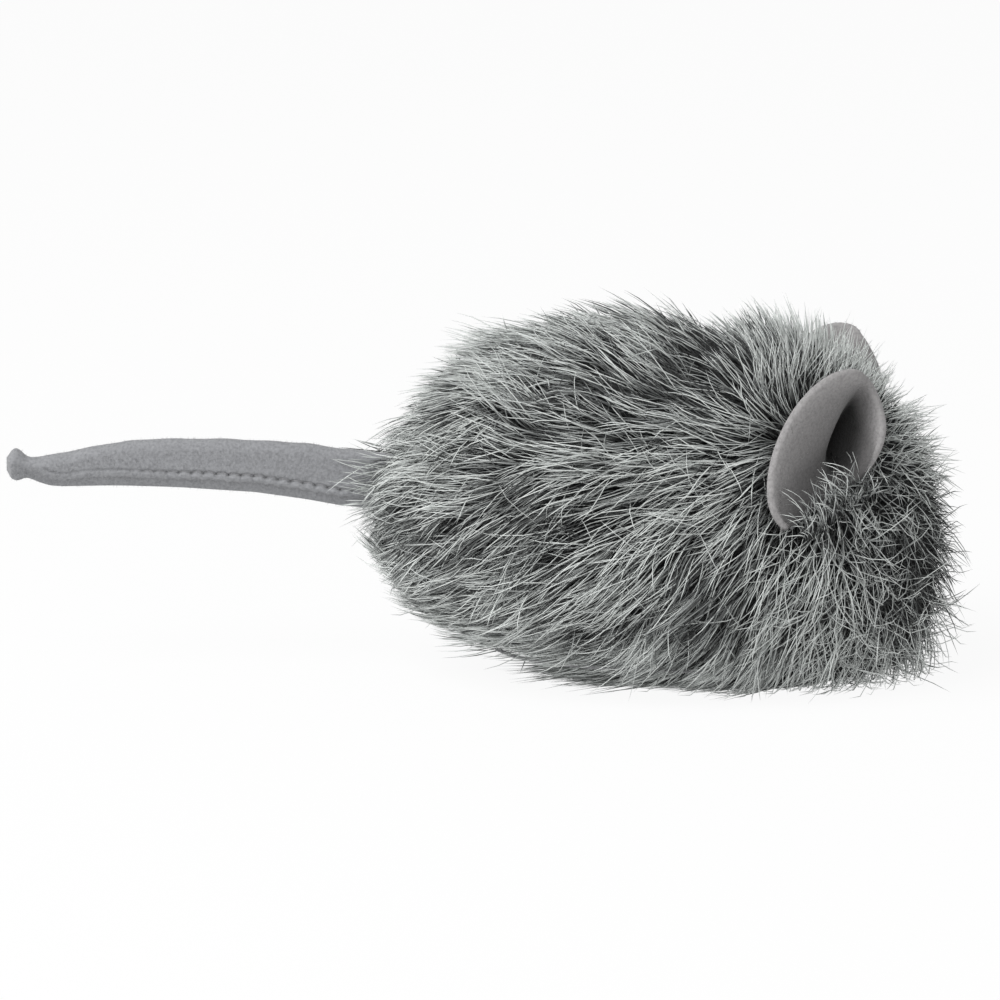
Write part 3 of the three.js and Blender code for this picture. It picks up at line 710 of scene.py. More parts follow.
def plain_cloth(name, colour, scale, roughness=0.9):
    """Matt fibres of one colour, with painted shade that makes them a little darker in the dips of their bump."""
    material, nodes, links, shader = new_material(name, roughness)
    dips = add_noise(nodes, links, scale, 4)
    # painted shade: the bump's own noise darkens the colour in its dips
    shades = add_ramp(nodes, links, dips, ((0.35, 0.7 * np.array(colour)), (0.6, colour)))
    links.new(shades, shader.inputs["Base Color"])
    add_bump(nodes, links, shader, dips, 0.5, 0.2 * MM)
    return material


def spun_thread():
    """The sewing thread's material, made once."""
    made = bpy.data.materials.get("spun_thread")
    return made or plain_cloth("spun_thread", (0.30, 0.30, 0.31), 3000, 0.8)


def follow_ear(piece):
    """Bakes the transform of a piece that goes with an ear into its mesh."""
    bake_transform(piece)


def follow_tail(piece):
    """Bakes the transform of fibres that go with the tail into their mesh."""
    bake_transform(piece)


def dress(piece, material, body):
    """Gives a piece its material and slot, and the one body that it rides on, if it has one."""
    piece.data.materials.clear()
    piece.data.materials.append(material)
    if body:
        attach(piece, body)
    return piece


# Pile

GUARD_RINGS = np.linspace(0, 1, 6)  # sections of a guard hair along its length
UNDER_RINGS = np.linspace(0, 1, 3)  # sections of an underfur fibre
ARCH = np.sin(GUARD_RINGS * 2.2)  # how a fibre of a fringe stands off the felt along its length
RISE = 42 * DEG  # slope of a fibre over the backing at its root, falling to nothing at its tip
STAND = 46 * DEG  # slope added where the pile stands up
OFF = 17 * DEG  # slope added where the comb leads off the skin
WAVER = 7 * DEG  # how far a fibre strays from its lay and back
DROOP = np.array((0, 0, 0.12))  # weight of the fibres against the comb
RUFF = 12.5 * MM  # reach round the tail's root within which fibres are put as its ruff
BELLY_SPREAD = 0.66  # share of the belly panel's length and width that holds roots
BELLY_ROOTS = 1.6 * MM  # their height
BACKING_UNDER = 0.1 * MM  # backing below the roots
BACKING_FLOOR = 1.5 * MM
HEAD_START = NOSE_X - 26 * MM  # behind the shorter, tangled pile of the head
HEAD_RUN = 12 * MM
BACKING_AREA = 0.0166  # square metres
LOCK_WANDER = 20 * DEG  # how far locks wander from the comb, neighbours together
LOCK_STRAY = 8 * DEG  # how far each lock strays on its own
LOCK_SWEEP = 14 * DEG  # how far a lock bends aside along its length
LOCK_LIFT = 6 * DEG
TUFT_LIFT = 50 * DEG
UNDER_STRAY = 20 * DEG
UNDER_LIFT = 8 * DEG
BARE_PARTING = 0.9  # share of guard hairs that a parting lacks
BARE_PATCH = 0.55
BARE_HEAD = 0.16
STRAYS = 0.08  # share of guard hairs that follow no lock
STRAYS_HEAD = 0.35  # more of them on the head
STRAY_LIFT = 8 * DEG
PALE = 0.37  # share of guard hairs that are pale
PALE_HEAD = 0.06
PALE_DRIFT = 0.14
PALE_LOCK = 0.1
MIDDLE_GREY = 0.22  # share of guard hairs between the pale and the dark ones
FROST = 0.2  # how much paler a guard hair is at its tip


def on_head(points):
    """How far each point is onto the short, tangled pile of the head, from 0 to 1."""
    return ramp(points[:, 0], HEAD_START, HEAD_START + HEAD_RUN)


def some_of(count):
    return count


def thicknesses(plush, count, random):
    """Thicknesses of fibres, a little uneven."""
    return plush.thick * varied(random, 1, 0.15, 0.6, 1.4, count)


def bells(points, marks, reach):
    """Bell curves of the distances over the side from each point to each mark."""
    far = (points[:, None, 0] - marks[:, 0] * MM) ** 2 + (points[:, None, 2] - marks[:, 1] * MM) ** 2
    return np.exp(-far / (2 * reach**2))


def near_places(points, places):
    """How close each point lies to the nearest of some places on the side, from 1 in the middle to 0."""
    marks = np.array(places)
    return bells(points, marks, marks[:, 2] * MM).max(1)


def sum_of(marks, points):
    """Sum of some marks at each point, each weighted by its bell curve."""
    marks = np.array(marks)
    return bells(points, marks, marks[:, 2] * MM) @ marks[:, 3]


def comb(points, normals):
    """Lay of the pile at points, square to their normals, how far it stands, and how far the comb leads off
    the skin: the mean of the combing marks, each weighted by its bell curve."""
    marks = np.array(COMB)
    angles = np.radians(marks[:, 2])
    weights = bells(points, marks, COMB_REACH) + 1e-9
    weights /= weights.sum(1, keepdims=True)
    lay = unit(weights @ points_of(-np.cos(angles), 0, -np.sin(angles)) - DROOP)
    along = (lay * normals).sum(-1)
    return unit(lay - along[:, None] * normals), weights @ marks[:, 3], np.maximum(0, along)


def lay_fibres(roots, rings, lengths, turn, bend, lift):
    """Centre lines of fibres: from each root, stretch after stretch, along the combed lay turned by an angle
    that grows along the fibre, and up from the skin by a slope that falls towards the tip, but not where
    the comb leads off the skin. A fibre wavers a little on its way. Its stiffness keeps it to the skin at its
    root, most of all near the floor, where the tips spread out and don't curl under the belly."""
    lines = [roots]
    place = roots
    rooted = outward(roots)
    rooted = rooted * (0.5 + 2 * ramp(roots[:, 2:], 10.8 * MM, 1.8 * MM))
    phase = 2e5 * roots[:, 0]
    waves = WAVER * (1 + 2 * on_head(roots))
    for here, following in zip(rings[:-1], rings[1:]):
        middle = (here + following) / 2
        normals = unit(rooted + outward(place))
        lay, stand, off = comb(place, normals)
        waver = waves * np.sin(6 * middle + phase)
        lay = turned(lay, normals, turn * (1 + 1.5 * stand) + bend * middle + waver)
        slope = RISE * (1 - middle) ** 1.5 + STAND * stand * middle**0.6 + OFF * off * middle**0.5 + lift
        slope = slope[:, None]
        stretch = (lengths * (1 - 0.12 * stand - 0.27 * off) * (following - here))[:, None]
        place = place + (lay * np.cos(slope) + normals * np.sin(slope)) * stretch
        place[:, 2] = np.maximum(place[:, 2], 0.25 * MM)
        lines.append(place)
    return np.stack(lines, 1)


def three_round(lines, aside):
    """Three unit vectors evenly round each line and square to it, the first square to another vector."""
    side = unit(np.cross(lines, aside))
    over = np.cross(lines, side)
    angles = all_round(3)
    return side[..., None, :] * np.cos(angles)[:, None] + over[..., None, :] * np.sin(angles)[:, None]


def put_fibres(name, lines, rings, thick, tones, random, frost=0.0):
    """Fibres as three-sided tubes along their centre lines, drawn out to a point and closed at the root.
    Across the map lies each fibre's tone, which frost makes paler by the square of the share of its length,
    and up the map that share."""
    count, sections = lines.shape[:2]
    along = unit(np.gradient(lines, axis=1))
    rim = three_round(along, unit(random.normal(size=(count, 1, 3))))[:, :-1]
    girth = 1 - 0.25 * np.abs(2 * rings[:-1] - 0.9)
    radius = (thick[:, None] / 2 * girth)[:, :, None, None]
    tubes = (lines[:, :-1, None] + rim * radius).reshape(count, -1, 3)
    points = np.concatenate((tubes, lines[:, -1:]), 1)
    per = points.shape[1]
    tip = per - 1
    quads = grid_faces(sections - 1, 3)
    ends = np.array(((tip - 3, tip - 2, tip), (tip - 2, tip - 1, tip), (tip - 1, tip - 3, tip), (0, 2, 1)))
    shift = (np.arange(count) * per)[:, None, None]
    across = np.concatenate((np.tile((-0.01, 0, 0.01), sections - 1), (0,)))
    up = np.concatenate((np.repeat(rings[:-1], 3), (1,)))
    shade = np.clip(tones[:, None] + frost * up**2, 0, 1)
    uv = np.stack((0.03 + 0.94 * shade + across, np.broadcast_to(0.02 + 0.96 * up, (count, per))), -1)
    return put_mesh(
        name,
        points.reshape(-1, 3),
        (quads + shift).reshape(-1, 4),
        (ends + shift).reshape(-1, 3),
        uv.reshape(-1, 2),
    )


def scatter(count, random):
    """Roots spread evenly over the backing: cells of a grid over the skin are drawn by their area."""
    cells = 420
    t = (1 - np.cos(np.linspace(0, math.pi, cells + 1))) / 2
    turn = np.linspace(0, 2 * math.pi, cells + 1)
    skin = body_skin(t[:, None], turn[None, :], PILE)
    edges = np.cross(skin[1:, :-1] - skin[:-1, :-1], skin[:-1, 1:] - skin[:-1, :-1])
    area = np.linalg.norm(edges, axis=-1) * (skin[:-1, :-1, 2] > 0.5 * MM)
    total = np.cumsum(area.ravel())
    drawn = (np.arange(count) + random.random(count)) / count * total[-1]
    cell = np.minimum(np.searchsorted(total, drawn), total.size - 1)
    i, j = np.divmod(cell, cells)
    a = random.random(count)
    b = random.random(count)
    return body_skin(t[i] + a * (t[i + 1] - t[i]), turn[j] + b * (turn[j + 1] - turn[j]), PILE)


def nearest(points, centres):
    """Index of the centre nearest to each point, worked out in blocks."""
    square = (centres**2).sum(1)
    blocks = np.array_split(points, 1 + len(points) // 4000)
    return np.concatenate([np.argmin(square - 2 * block @ centres.T, 1) for block in blocks])


def clear_of_felt(lines):
    """Fibres cut short where they meet the ears, pressed to the head or not, and the tail; which of them are
    kept; and which rise in front of an ear's sewn edge."""
    x, y, z = np.moveaxis(ear_places(lines), -1, 0)
    long, wide = ear_oval(x, y)
    room = 1 + 0.8 * MM / EAR_WIDE
    over = (long**2 + wide**2 < room**2) & (y > -0.5 * MM)
    pressed = np.maximum(0, y) * math.tan(EAR_FOLD_IN)
    face = ear_floor(x, y)
    before = over & (z > face + 0.3 * MM) & (y < 3.5 * MM)
    in_ear = over & ~before & (z > face - FELT - 0.4 * MM - pressed) & (z < 14 * MM)
    top, bottom = tail_edges(lines[..., 0])
    beside = np.abs(lines[..., 1]) < FELT + TAIL_SLIT / 2 + 0.2 * MM
    across = (lines[..., 2] < top + 0.2 * MM) & (lines[..., 2] > bottom - 0.2 * MM)
    in_tail = beside & across & (lines[..., 0] < TAIL_PIVOT[0] + TAIL_ROOT)
    lines, keep = shortened(lines, in_ear | in_tail)
    return lines, keep, keep & before.any(1)


def shortened(lines, blocked):
    """Fibres that run into something are drawn again along the part of their line before it. A fibre that
    has too little left isn't kept."""
    last = lines.shape[1] - 1
    free = np.where(blocked.any(1), blocked.argmax(1) - 1.0, last)
    place = np.maximum(free, 0)[:, None] * np.linspace(0, 1, last + 1)
    below = np.minimum(place.astype(int), last - 1)
    rest = (place - below)[..., None]
    row = np.arange(len(lines))[:, None]
    return lines[row, below] * (1 - rest) + lines[row, below + 1] * rest, free > 0.3 * last


class MOUSE_OT_pile(bpy.types.Operator):
    """Lays the guard hairs and the underfur of the plush over both sides"""

    bl_idname = "mouse.pile"
    bl_label = "Lay Pile"

    def execute(self, context):
        plush = context.scene.mouse_plush
        self.random = np.random.default_rng(SEED)
        self.material = pile_material()
        self.locks = scatter(int(BACKING_AREA / plush.lock**2), self.random)
        self.wander = LOCK_WANDER * drift(self.locks, 16 * MM, 1)
        self.wander += self.random.normal(0, LOCK_STRAY, len(self.locks))
        self.lay_underfur(plush)
        self.lay_guards(plush)
        return {"FINISHED"}

    def lay_underfur(self, plush):
        """Short dark fibres, each laid by the comb alone."""
        random = self.random
        count = some_of(plush.underfibres)
        roots = scatter(count, random)
        lines = lay_fibres(
            roots,
            UNDER_RINGS,
            plush.under_length * varied(random, 1, 0.2, 0.5, 1.5, count),
            self.wander[nearest(roots, self.locks)] + random.normal(0, UNDER_STRAY, count),
            random.normal(0, UNDER_STRAY, count),
            random.normal(0, UNDER_LIFT, count),
        )
        tones = varied(random, 0.14, 0.08, 0, 0.3, count)
        thick = thicknesses(plush, count, random)
        self.put_regions("underfur", ("rear", "front"), roots, lines, UNDER_RINGS, thick, tones)

    def lay_guards(self, plush):
        """Long pale fibres, gathered into locks: each is pulled towards the guide line of its lock."""
        random = self.random
        locks = self.locks
        count = some_of(plush.guards)
        roots = scatter(count, random)
        patches = np.clip(drift(roots, 11 * MM, 8), 0, 1)
        bare = np.maximum(BARE_PARTING * near_places(roots, PARTINGS), BARE_PATCH * patches)
        roots = roots[random.random(count) > bare + BARE_HEAD * on_head(roots)]
        count = len(roots)
        mine = nearest(roots, locks)
        sweep = random.normal(0, LOCK_SWEEP, len(locks))
        tuft = sum_of(TUFTS, locks)
        lift = LOCK_LIFT * drift(locks, 9 * MM, 2) + TUFT_LIFT * tuft
        size = 1 + 0.12 * random.normal(size=len(locks)) + tuft
        guides = lay_fibres(locks, GUARD_RINGS, plush.length * size, self.wander, sweep, lift)
        head = on_head(roots)
        stray = random.random(count) < STRAYS + STRAYS_HEAD * head
        pale = PALE + PALE_HEAD * head + PALE_DRIFT * drift(roots, 9 * MM, 10)
        pale = pale + PALE_LOCK * random.normal(size=len(locks))[mine]
        halfway = roots + (guides[:, len(GUARD_RINGS) // 2] - locks)[mine]
        kind = random.random(count) - np.clip(pale + sum_of(SHADES, halfway), 0.03, 0.9)
        middle = (kind > 0) & (kind < MIDDLE_GREY)
        dark = kind >= MIDDLE_GREY
        tones = random.normal(0.93 - 0.38 * middle - 0.68 * dark, 0.08)
        lengths = varied(random, 1 - 0.1 * middle - 0.28 * dark, 0.15, 0.4, 1.4)
        lengths = lengths * (1 - 0.15 * head) * (1 - 0.18 * stray)
        lines = lay_fibres(
            roots,
            GUARD_RINGS,
            plush.length * size[mine] * lengths,
            self.wander[mine] + random.normal(0, np.radians(9 + 32 * stray + 30 * head)),
            sweep[mine] + random.normal(0, np.radians(22 + 85 * head)),
            lift[mine] + random.normal(0, LOCK_LIFT, count) + stray * STRAY_LIFT,
        )
        pull = random.uniform(0.1, 0.75, len(locks))[mine] * ~stray * (1 - 0.6 * head)
        pull = pull[:, None, None] * GUARD_RINGS[:, None] ** 1.3
        lines = lines + pull * (guides[mine] + 0.3 * (roots - locks[mine])[:, None] - lines)
        lines[..., 2] = np.maximum(lines[..., 2], 0.2 * MM)
        thick = thicknesses(plush, count, random) * (1 - 0.1 * head)
        regions = ("rump", "flank", "shoulder", "head")
        self.put_regions("pile", regions, roots, lines, GUARD_RINGS, thick, tones, FROST)

    def put_regions(self, name, regions, roots, lines, rings, thick, tones, frost=0.0):
        """Puts each side's fibres as pieces one behind the other, and those round the tail as its ruff."""
        lines, keep, fringe = clear_of_felt(lines)
        beside_tail = np.hypot(roots[:, 1], roots[:, 2] - TAIL_PIVOT[2]) < RUFF
        ruff = keep & beside_tail & (roots[:, 0] < TAIL_PIVOT[0] + RUFF)
        bounds = np.quantile(roots[:, 0], np.linspace(0, 1, len(regions) + 1)[1:-1])
        region = np.searchsorted(bounds, roots[:, 0])

        def put(part, some, body=None):
            fibres = lines[some], rings, thick[some], tones[some]
            piece = put_fibres(f"{name}_{part}", *fibres, self.random, frost)
            return dress(piece, self.material, body)

        for side, on_side in (("right", roots[:, 1] < 0), ("left", roots[:, 1] >= 0)):
            for number, word in enumerate(regions):
                laid = keep & ~ruff & ~fringe & on_side & (region == number)
                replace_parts(put(f"{word}_{side}", laid, "body"), f"fur_side_{side}")
            if (fringe & on_side).any():
                follow_ear(put(f"ear_{side}", fringe & on_side))
        follow_tail(put("tail_ruff", ruff))


class MOUSE_OT_belly(bpy.types.Operator):
    """Presses the belly's fibres flat under the toy"""

    bl_idname = "mouse.belly"
    bl_label = "Press Belly"

    def execute(self, context):
        plush = context.scene.mouse_plush
        random = np.random.default_rng(SEED + 1)
        count = some_of(plush.belly_fibres)
        low, high = (np.array(corner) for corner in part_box("base_panel"))
        middle = (low + high) / 2 + np.array((0.5 * plush.length, 0, 0))
        away = np.sqrt(random.random(count)) * BELLY_SPREAD
        turn = random.uniform(0, 2 * math.pi, count)
        roots = middle + (high - low) / 2 * points_of(away * np.cos(turn), away * np.sin(turn), 0)
        roots[:, 2] = BELLY_ROOTS
        angle = 25 * DEG * drift(roots, 18 * MM, 3) + random.normal(0, 14 * DEG, count)
        lay = points_of(-np.cos(angle), np.sin(angle), 0)
        length = plush.length * varied(random, 0.9, 0.15, 0.5, 1.3, count)
        fall = np.outer(random.uniform(0.6, 1.35, count) * MM, 1 - (1 - UNDER_RINGS) ** 2)
        lines = roots[:, None] + lay[:, None] * (length[:, None] * UNDER_RINGS)[..., None]
        lines[..., 2] -= fall
        thick = thicknesses(plush, count, random)
        tones = varied(random, 0.7, 0.2, 0, 1, count)
        piece = put_fibres("pile_belly", lines, UNDER_RINGS, thick, tones, random)
        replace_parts(dress(piece, bpy.data.materials["plush_pile"], "body"), "base_panel")
        return {"FINISHED"}


class MOUSE_OT_backing(bpy.types.Operator):
    """Makes the knitted backing that the fibres stand on"""

    bl_idname = "mouse.backing"
    bl_label = "Make Backing"

    def execute(self, context):
        t = (1 - np.cos(np.linspace(0.06, math.pi - 0.06, 72))) / 2
        turn = all_round(96)
        skin = body_skin(t[:, None], turn[None, :], PILE + BACKING_UNDER)
        skin[..., 2] = np.maximum(skin[..., 2], BACKING_FLOOR)
        piece = put_loft("plush_backing", under_ears(skin, 0.6 * MM))
        dress(piece, backing_material(), "body")
        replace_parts(piece, "fur_side_right", "fur_side_left", "base_panel")
        return {"FINISHED"}


# Felt

FUZZ_THICK = 0.05 * MM  # also how deep a loose fibre is rooted
FUZZ_FOLD = 0.45  # no loose fibres deeper in a fold
EAR_FUZZ = 6000  # loose fibres on an ear
TAIL_FUZZ = 9000
EAR_FRINGE = 190  # fibres over an ear's sewn edge
EAR_FRINGE_LONG = slice(14)  # those that are long and pale and lean to the rear
TAIL_FRINGE = 120  # fibres over the tail's root
TAIL_RINGS = 420
THREAD_RINGS = 460
EAR_BEND = 3 * MM
EAR_FRINGE_BEND = 5 * MM


def fuzz(name, surface, normals, count, length, random):
    """Loose fibres on felt: short cones that lean every way out of the surface."""
    pick = random.integers(0, len(surface), count)
    lean = unit(normals[pick] + random.normal(0, 0.7, (count, 3)))
    size = length * random.uniform(0.4, 1.2, (count, 1))
    base = surface[pick] - normals[pick] * FUZZ_THICK
    rim = three_round(lean, random.normal(size=(count, 3)))
    points = np.concatenate((base[:, None] + rim * FUZZ_THICK / 2, (base + lean * size)[:, None]), 1)
    faces = np.array(((0, 1, 3), (1, 2, 3), (2, 0, 3), (0, 2, 1)))
    shift = (np.arange(count) * 4)[:, None, None]
    return put_mesh(name, points.reshape(-1, 3), np.zeros((0, 4), int), (faces + shift).reshape(-1, 3))


def surface_of(piece):
    """Points and normals of a piece of felt, for its fuzz, but none from deep in a fold."""
    mesh = piece.data
    count = len(mesh.vertices)
    places = np.zeros((count, 3))
    normals = np.zeros((count, 3))
    fold = np.zeros(count)
    mesh.vertices.foreach_get("co", places.ravel())
    mesh.vertices.foreach_get("normal", normals.ravel())
    mesh.attributes["fold"].data.foreach_get("value", fold)
    return places[fold < FUZZ_FOLD], normals[fold < FUZZ_FOLD]


def ear_rings():
    """Sections of the ear across its sewn edge: up the face of the cup, round the rim, and down the back. In
    plan each is a straight line from the sewn edge to the oval rim, at the height of the ear's floor. The rim
    is half a circle as wide as the felt, and the back lies under the face along its normal."""
    columns = 64
    p = np.sin(np.linspace(-math.pi / 2, math.pi / 2, columns + 2)[1:-1])
    foot = np.outer(p, (EAR_BASE / 2, 0))
    front_end = np.array((EAR_BASE / 2, 0)) - EAR_MIDDLE
    rim_end = math.atan2(front_end @ EAR_ACROSS / EAR_WIDE, front_end @ EAR_ALONG / EAR_LONG)
    turn = math.pi + (rim_end - math.pi) * (p + 1) / 2
    rim = EAR_MIDDLE + np.outer(np.cos(turn), EAR_ALONG * EAR_LONG)
    rim = rim + np.outer(np.sin(turn), EAR_ACROSS * EAR_WIDE)
    q = np.linspace(0, 1, EAR_STEPS)[None, :, None]
    away = unit(rim - EAR_MIDDLE)
    flat = foot[:, None] + (rim - away * FELT / 2 - foot)[:, None] * q
    x, y = flat[..., 0], flat[..., 1]
    step = 0.05 * MM
    slope_x = (ear_floor(x + step, y) - ear_floor(x - step, y)) / (2 * step)
    slope_y = (ear_floor(x, y + step) - ear_floor(x, y - step)) / (2 * step)
    normal = unit(points_of(-slope_x, -slope_y, 1))
    climb = slope_x[:, -1] * away[:, 0] + slope_y[:, -1] * away[:, 1]
    away = unit(np.concatenate((away, climb[:, None]), -1))
    face = points_of(x, y, ear_floor(x, y))
    back = face - normal * FELT
    back[..., 1] = np.maximum(back[..., 1], 0)
    bend = np.linspace(0, math.pi, 9)[1:-1][None, :, None]
    around = normal[:, -1][:, None] * (np.cos(bend) - 1) + away[:, None] * np.sin(bend)
    edge = face[:, -1][:, None] + FELT / 2 * around
    return np.concatenate((face, edge, back[:, ::-1]), 1)


def ear_painted_shade(own):
    """Painted shade at each point of the ear's sections: by its height below the rim's plane, for the shade in
    the cup and its fold, and on the face by how near it lies to the gathered, sewn edge, for the shade of the
    pile there. The rim gets a painted highlight."""
    step = np.arange(own.shape[1])
    rim = EAR_STEPS + 3
    from_rim = np.abs(step - rim) - 3
    height = own[..., 2] + FELT * (step > rim)
    # painted shade along the gathered, sewn edge, under the pile's fringe
    edge_shade = ramp(own[..., 1], 9 * MM, 0) * ramp(from_rim, 0, 13) * (step < EAR_STEPS)
    # painted shade below the rim's plane, less a painted highlight on the rim
    depth = ramp(-height, 0.2 * MM, 6.7 * MM) - RIM_HIGHLIGHT * ramp(from_rim, 8.75, 1.75)
    return depth + 0.75 * edge_shade**1.3


def put_painted_shade(piece, depth):
    """Writes how deep each point of a loft's rings lies in a fold as an attribute from 0 to 1, which the felt's
    colour takes as painted shade. The depth is 1 at the bottom of a fold, 0 on open felt, and falls below 0 on
    a rim by the rim's highlight share, a painted highlight."""
    fold = piece.data.attributes.new("fold", "FLOAT", "POINT")
    depth = (np.concatenate((depth.ravel(), (0, 0))) + RIM_HIGHLIGHT) / (1 + RIM_HIGHLIGHT)
    fold.data.foreach_set("value", np.clip(depth, 0, 1).astype(np.float32))


class MOUSE_OT_ears(bpy.types.Operator):
    """Folds the felt ears into cups and fringes them with pile"""

    bl_idname = "mouse.ears"
    bl_label = "Fold Ears"

    def execute(self, context):
        felt = context.scene.mouse_felt
        plush = context.scene.mouse_plush
        material = felt_material("ear_felt", felt.ear_colour)
        own = ear_rings()
        for side, sign in (("right", 1), ("left", -1)):
            random = np.random.default_rng(SEED + 2)
            mirror = np.array((1, sign, 1))
            ear = put_loft(f"felt_ear_{side}", (EAR_ORIGIN + own @ EAR_AXES) * mirror)
            # painted shade in the ear's cup, fold and along its sewn edge, and a painted highlight on its rim
            put_painted_shade(ear, ear_painted_shade(own))
            loose = fuzz(f"felt_ear_fuzz_{side}", *surface_of(ear), EAR_FUZZ, felt.fuzz, random)
            fringe = self.fringe(side, mirror, plush, random)
            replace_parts(dress(ear, material, None), f"ear_{side}")
            dress(loose, material, None)
            dress(fringe, bpy.data.materials["plush_pile"], None)
            for piece, reach in ((ear, EAR_BEND), (loose, EAR_BEND), (fringe, EAR_FRINGE_BEND)):
                follow_ear(piece)
        return {"FINISHED"}

    def fringe(self, side, mirror, plush, random):
        """Fibres that rise from the pile under the sewn edge and curl over the face of the cup."""
        count = EAR_FRINGE
        place = random.uniform(-0.42, 0.48, count)
        low = random.uniform(-4.5, -1, count) * MM
        root = points_of(place * EAR_BASE, low, random.uniform(-2, 1.2, count) * MM)
        up = random.uniform(3, 7.5, count) * MM * (1 - 1.6 * place**2 - 0.6 * np.clip(place, 0, 1))
        up[EAR_FRINGE_LONG] += 4 * MM
        sway = random.normal(0, 2.2, count) * MM
        sway[EAR_FRINGE_LONG] -= 3 * MM
        out = random.uniform(0.8, 3, count) * MM
        own = root[:, None] + points_of(
            np.outer(sway, GUARD_RINGS**2), np.outer(up, GUARD_RINGS**0.8), np.outer(out, ARCH)
        )
        lines = (EAR_ORIGIN + own @ EAR_AXES) * mirror
        thick = plush.thick * random.uniform(0.7, 1.1, count)
        tones = varied(random, 0.5, 0.3, 0, 1, count)
        tones[EAR_FRINGE_LONG] = 0.95
        return put_fibres(f"ear_fringe_{side}", lines, GUARD_RINGS, thick, tones, random, FROST)


def tail_seam(x):
    """The folded strip at places along it: its upper and lower edges, half its thickness, how far it is sewn,
    how far each place is from a needle hole, and how high the seam runs over the lower edge. The edges are
    smoothed between their stations, the tip is rounded by a quarter of a circle, and the distance from the
    needle holes follows a sine."""
    kernel = np.hanning(13) / np.hanning(13).sum()
    top, bottom = (np.convolve(np.pad(edge, 6, "edge"), kernel, "valid") for edge in tail_edges(x))
    along = points_of(x, 0, 0)
    top = top + 0.13 * MM * drift(along, 6 * MM, 5)
    half = (FELT + TAIL_SLIT / 2) * (1 + 0.25 * bell(x - TAIL_TIP_X, 2 * MM))
    half = np.minimum(half, 0.48 * (top - bottom))
    rolled = np.clip((x - TAIL_OUTLINE[0][0] * MM) / (1.2 * MM), 0.05, 1)
    half = half * np.sqrt(rolled * (2 - rolled))
    sewn = ramp(x, TAIL_SEWN[0], TAIL_SEWN_FULL[0]) * ramp(x, TAIL_SEWN[1], TAIL_SEWN_FULL[1])
    stitch = np.abs(np.sin(x * math.pi / TAIL_STITCH))
    crumple = drift(along, 5 * MM, 9) * (1 - 0.8 * ramp(x, *TAIL_CRUMPLED))
    line = TAIL_STITCH_LINE + SEAM_OVER + SEAM_SCALLOP * stitch * sewn + SEAM_CRUMPLE * crumple
    return top, bottom, half, sewn, stitch, line


def thread_rings():
    """Rings of the thread along the right flap: circles round a line that is sunk in the groove and dips into
    each needle hole by the fourth power of how near it is."""
    x = np.linspace(*TAIL_SEWN, THREAD_RINGS)
    _, bottom, half, _, stitch, line = tail_seam(x)
    depth = THREAD_SUNK + THREAD_DIP * (1 - stitch) ** 4
    turn = all_round(8)
    rim = TAIL_THREAD / 2 * points_of(0, np.cos(turn), np.sin(turn))
    return points_of(x, depth - half, bottom + line)[:, None] + rim


def tail_rings(x):
    """Sections of the folded strip at places along it: up the right flap, over the fold, down the left flap,
    and back up and down the slit. The stitches draw the flaps in along a groove, and below it a scalloped lip
    swells between them. Under the lip the flaps step in and lean in. Gives each point's painted shade as well:
    a painted shadow in the groove and along the step under the lip, a darker band under the lip, and a painted
    highlight on the lip's scallops."""
    top, bottom, half, sewn, stitch, line = (part[:, None] for part in tail_seam(x))
    drawn = (0.5 + 0.5 * sewn) * ramp(x[:, None], *TAIL_DRAWN)
    notch = sewn * (1 - stitch)
    bump = sewn * stitch
    bend = top - half
    flap_z = bottom + (bend - bottom) * np.linspace(0, 1, 64)
    over = flap_z - bottom - line
    groove = bell(over, GROOVE_WIDE) * drawn
    lip = bell(over + LIP_LOW, LIP_WIDE) * drawn
    under = over + LIP_EDGE
    below = drawn / (1 + np.exp(np.clip(under / STEP_RUN, -30, 30)))
    lean = 0.4 * half * np.clip(-over / line, 0, 1) ** 1.5
    swollen = (LIP_PROUD + LIP_SCALLOP * bump) * lip - (GROOVE_DEEP + GROOVE_PULL * notch) * groove
    flap_y = half + swollen - STEP_IN * below - lean
    # Painted shadow in the groove and under the lip's edge, a darker band below, and a painted highlight on the
    # lip's scallops
    shadow = (0.2 + 0.36 * notch) * groove + 0.28 * bell(under, 0.2 * MM) * drawn
    depth = shadow + (0.16 - 0.1 * sewn) * below - 0.12 * bump * lip
    turn = np.linspace(math.pi, 0, 17)[1:-1]
    gap = np.minimum(TAIL_SLIT / 2, 0.3 * half) * np.array((1, 1, -1, -1))
    foot = bottom + 0.05 * MM
    y = np.concatenate((-flap_y, half * np.cos(turn), flap_y[:, ::-1], gap), 1)
    fold_z = bend + half * np.sin(turn)
    z = np.concatenate((flap_z, fold_z, flap_z[:, ::-1], foot, bend, bend, foot), 1)
    rest = np.zeros((len(x), len(turn)))
    depth = np.concatenate((depth, rest, depth[:, ::-1], rest[:, :4]), 1)
    return points_of(x[:, None], y, z), depth


